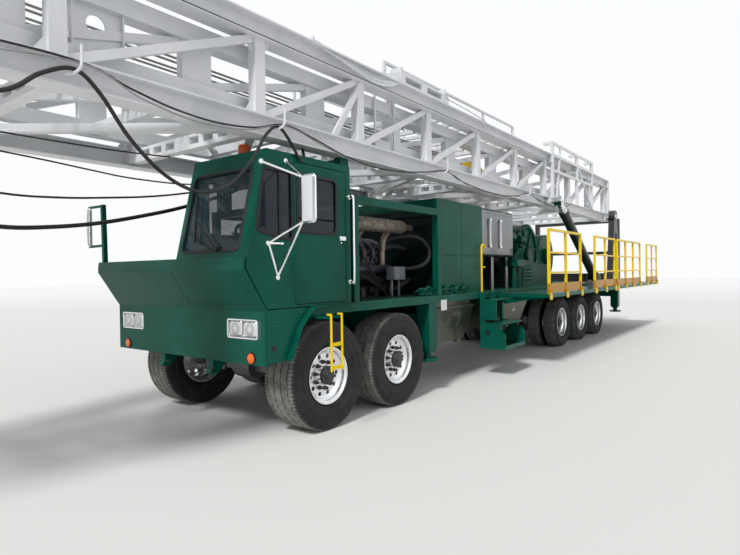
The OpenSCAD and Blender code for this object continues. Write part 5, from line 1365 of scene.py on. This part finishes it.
head = solid(lathe([(0.014, -0.001), (0.014, 0.01), (0.01, 0.013)], segments=6))
rivet = solid(lathe([(0.009, -0.001), (0.008, 0.003), (0.003, 0.005)], segments=8))
angle = np.radians(np.arange(-12, 193, 12))
bolts = [at(x, y, z) + circle(radius, turn) for x, y, z, radius, turn in (
    (DRUM[0], 0.93, DRUM[1], 0.545, angle), (-7.6, 0.98, 1.96, 0.13, angle[::2]),
    (DRUM[0], 0.99, DRUM[1], 0.115, angle[::2]))]
seams = [(x, 1.2005, z) for x in np.arange(-3.8, -2.42, 0.12) for z in (1.36, 2.66)]
seams += [(x, 1.2005, z) for z in np.arange(1.42, 2.62, 0.12) for x in (-3.8, -2.43)]
seams += [(x, 1.1005, z) for x in np.arange(-5.24, -3.92, 0.11) for z in (1.98, 2.64)]
skirt = [(x, 1.3005, z) for x in np.arange(-4.25, 0.2, 0.28) for z in (1.255, 1.305)]
for name, small, places in (("guard_bolts", head, np.concatenate(bolts)),
                            ("panel_rivets", rivet, at(seams)), ("skirt_bolts", rivet, at(skirt))):
    twins(f"{name}_*", Shape().scatter(small, places), green)
    print(f"{name}:", 2 * len(places))
tell()

# %% [markdown]
# ## Seams on the nose and a groove along the mast
#
# The nose's slope is closed by a wide hatch, with a seam up each side and one along its foot. A
# bead of dark sealer lies in each, so a thin bar half sunk in the slope draws it. Below the
# mast's top chord runs a long groove on both sides, drawn as a thin dark strip of painted shade.

# %% Seams and groove
hatch = [((0.909, 0.172, 1.314), (1.158, 0.172, 1.698)),
         ((0.945, 1.165, 1.37), (1.114, 1.165, 1.63)),
         ((0.945, 0.26, 1.37), (0.945, 1.165, 1.37))]
piece("nose_seams", solid(bars(hatch, 0.0035, 8)), gasket)
# painted shade: a thin dark strip stands for the shade in the groove below the top chord
twins("mast_groove_*", solid(boxes((-8.4, 1.249, 3.882), (4.45, 1.2512, 3.892))), gasket, "mast",
      "white_paint")
tell()

# %% [markdown]
# ## The drilling line between the crown and the travelling block
#
# The wire rope is reeved over the crown's sheaves and the block's. Each part of it is taut, so it
# runs as a straight line from the groove of one sheave to the groove of the other, and as the
# block travels the line between them gets longer or shorter. Here the line is made at rest and
# rides no body.

# %% Drilling line
crown, block = (-0.21, -0.09, 0.09, 0.21), (-0.135, -0.062, 0.062, 0.135)  # Y of the sheaves
share = np.linspace(0, 1, 25)[:, None]
parts = [at(5.98, a, 3.668 + 0.29 * way) * (1 - share) + at(-5.42, b, 3.58 + 0.19 * way) * share
         for a, b in zip(crown, block) for way in (1, -1)]
reeving = piece("drilling_line", solid(carry(ring(0.013, 8), parts)), wire_rope, None)
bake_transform(reeving)
print("parts of the line:", len(parts))
tell()

# %% [markdown]
# ## The driver's seat
#
# Behind the dark glass stands the driver's seat. A cushion is a closed form: its outline is a
# rectangle with round corners, drawn in a little at the middle of each side, and from the rim it
# rises to a crown. Two sewn channels part the middle from the side bolsters.

# %% Seat cushions
def cushion(half, low, rim, crown, channel):
    """Table of a cushion round the origin, Z up. Row k is the outline times s from 0 to 1 and back
    to 0, and its height follows low at the bottom and, on top, rim + crown (1 - s^2)^0.5. The
    channels lower the top by 12 mm times exp(-((|y| - channel) / 0.014)^2)."""
    half = np.array(half)
    outline = rounded([-half, half], 0.045, 6)
    t = np.linspace(0, 1, 6, endpoint=False)[:, None]
    edge = (outline[:, None] * (1 - t) + np.roll(outline, -1, 0)[:, None] * t).reshape(-1, 2)
    edge *= (1 - 0.012 * np.cos(np.pi * edge[:, ::-1] / half[::-1] / 2) ** 2)
    under = np.array([(0.02, low), (0.6, low), (0.93, low), (0.985, low + 0.012), (1, low + 0.035)])
    s = np.concatenate([[1.0, 0.998, 0.985, 0.96], np.linspace(0.92, 0.02, 28)])
    rows = np.vstack([under, np.stack([s, rim + crown * np.sqrt(1 - s ** 2)], -1)])
    flat = edge[None] * rows[:, :1, None]
    height = np.broadcast_to(rows[:, 1:], flat.shape[:2]).copy()
    sewn = np.exp(-((np.abs(flat[..., 1]) - channel) / 0.014) ** 2) * (rows[:, 0] < 0.95)[:, None]
    height[len(under):] -= 0.012 * sewn[len(under):]
    return np.concatenate([flat, height[..., None]], -1)


def tipped(table, centre, angle):
    """The table turned about Y by an angle in degrees, and set at its centre."""
    turn = math.radians(angle)
    x, y, z = np.moveaxis(table, -1, 0)
    return np.stack([x * math.cos(turn) + z * math.sin(turn), y,
                     z * math.cos(turn) - x * math.sin(turn)], -1) + centre


base = cushion((0.242, 0.262), -0.064, 0.04, 0.034, 0.165)
squab = cushion((0.345, 0.242), -0.062, 0.03, 0.04, 0.15)
for name, table in (("seat_cushion", tipped(base, at(0.17, 0.75, 1.7606), 0)),
                    ("seat_back", tipped(squab, at(-0.05, 0.75, 2.122), 81.5))):
    pad = piece(name, solid(table), vinyl, sharp=60)
tell()
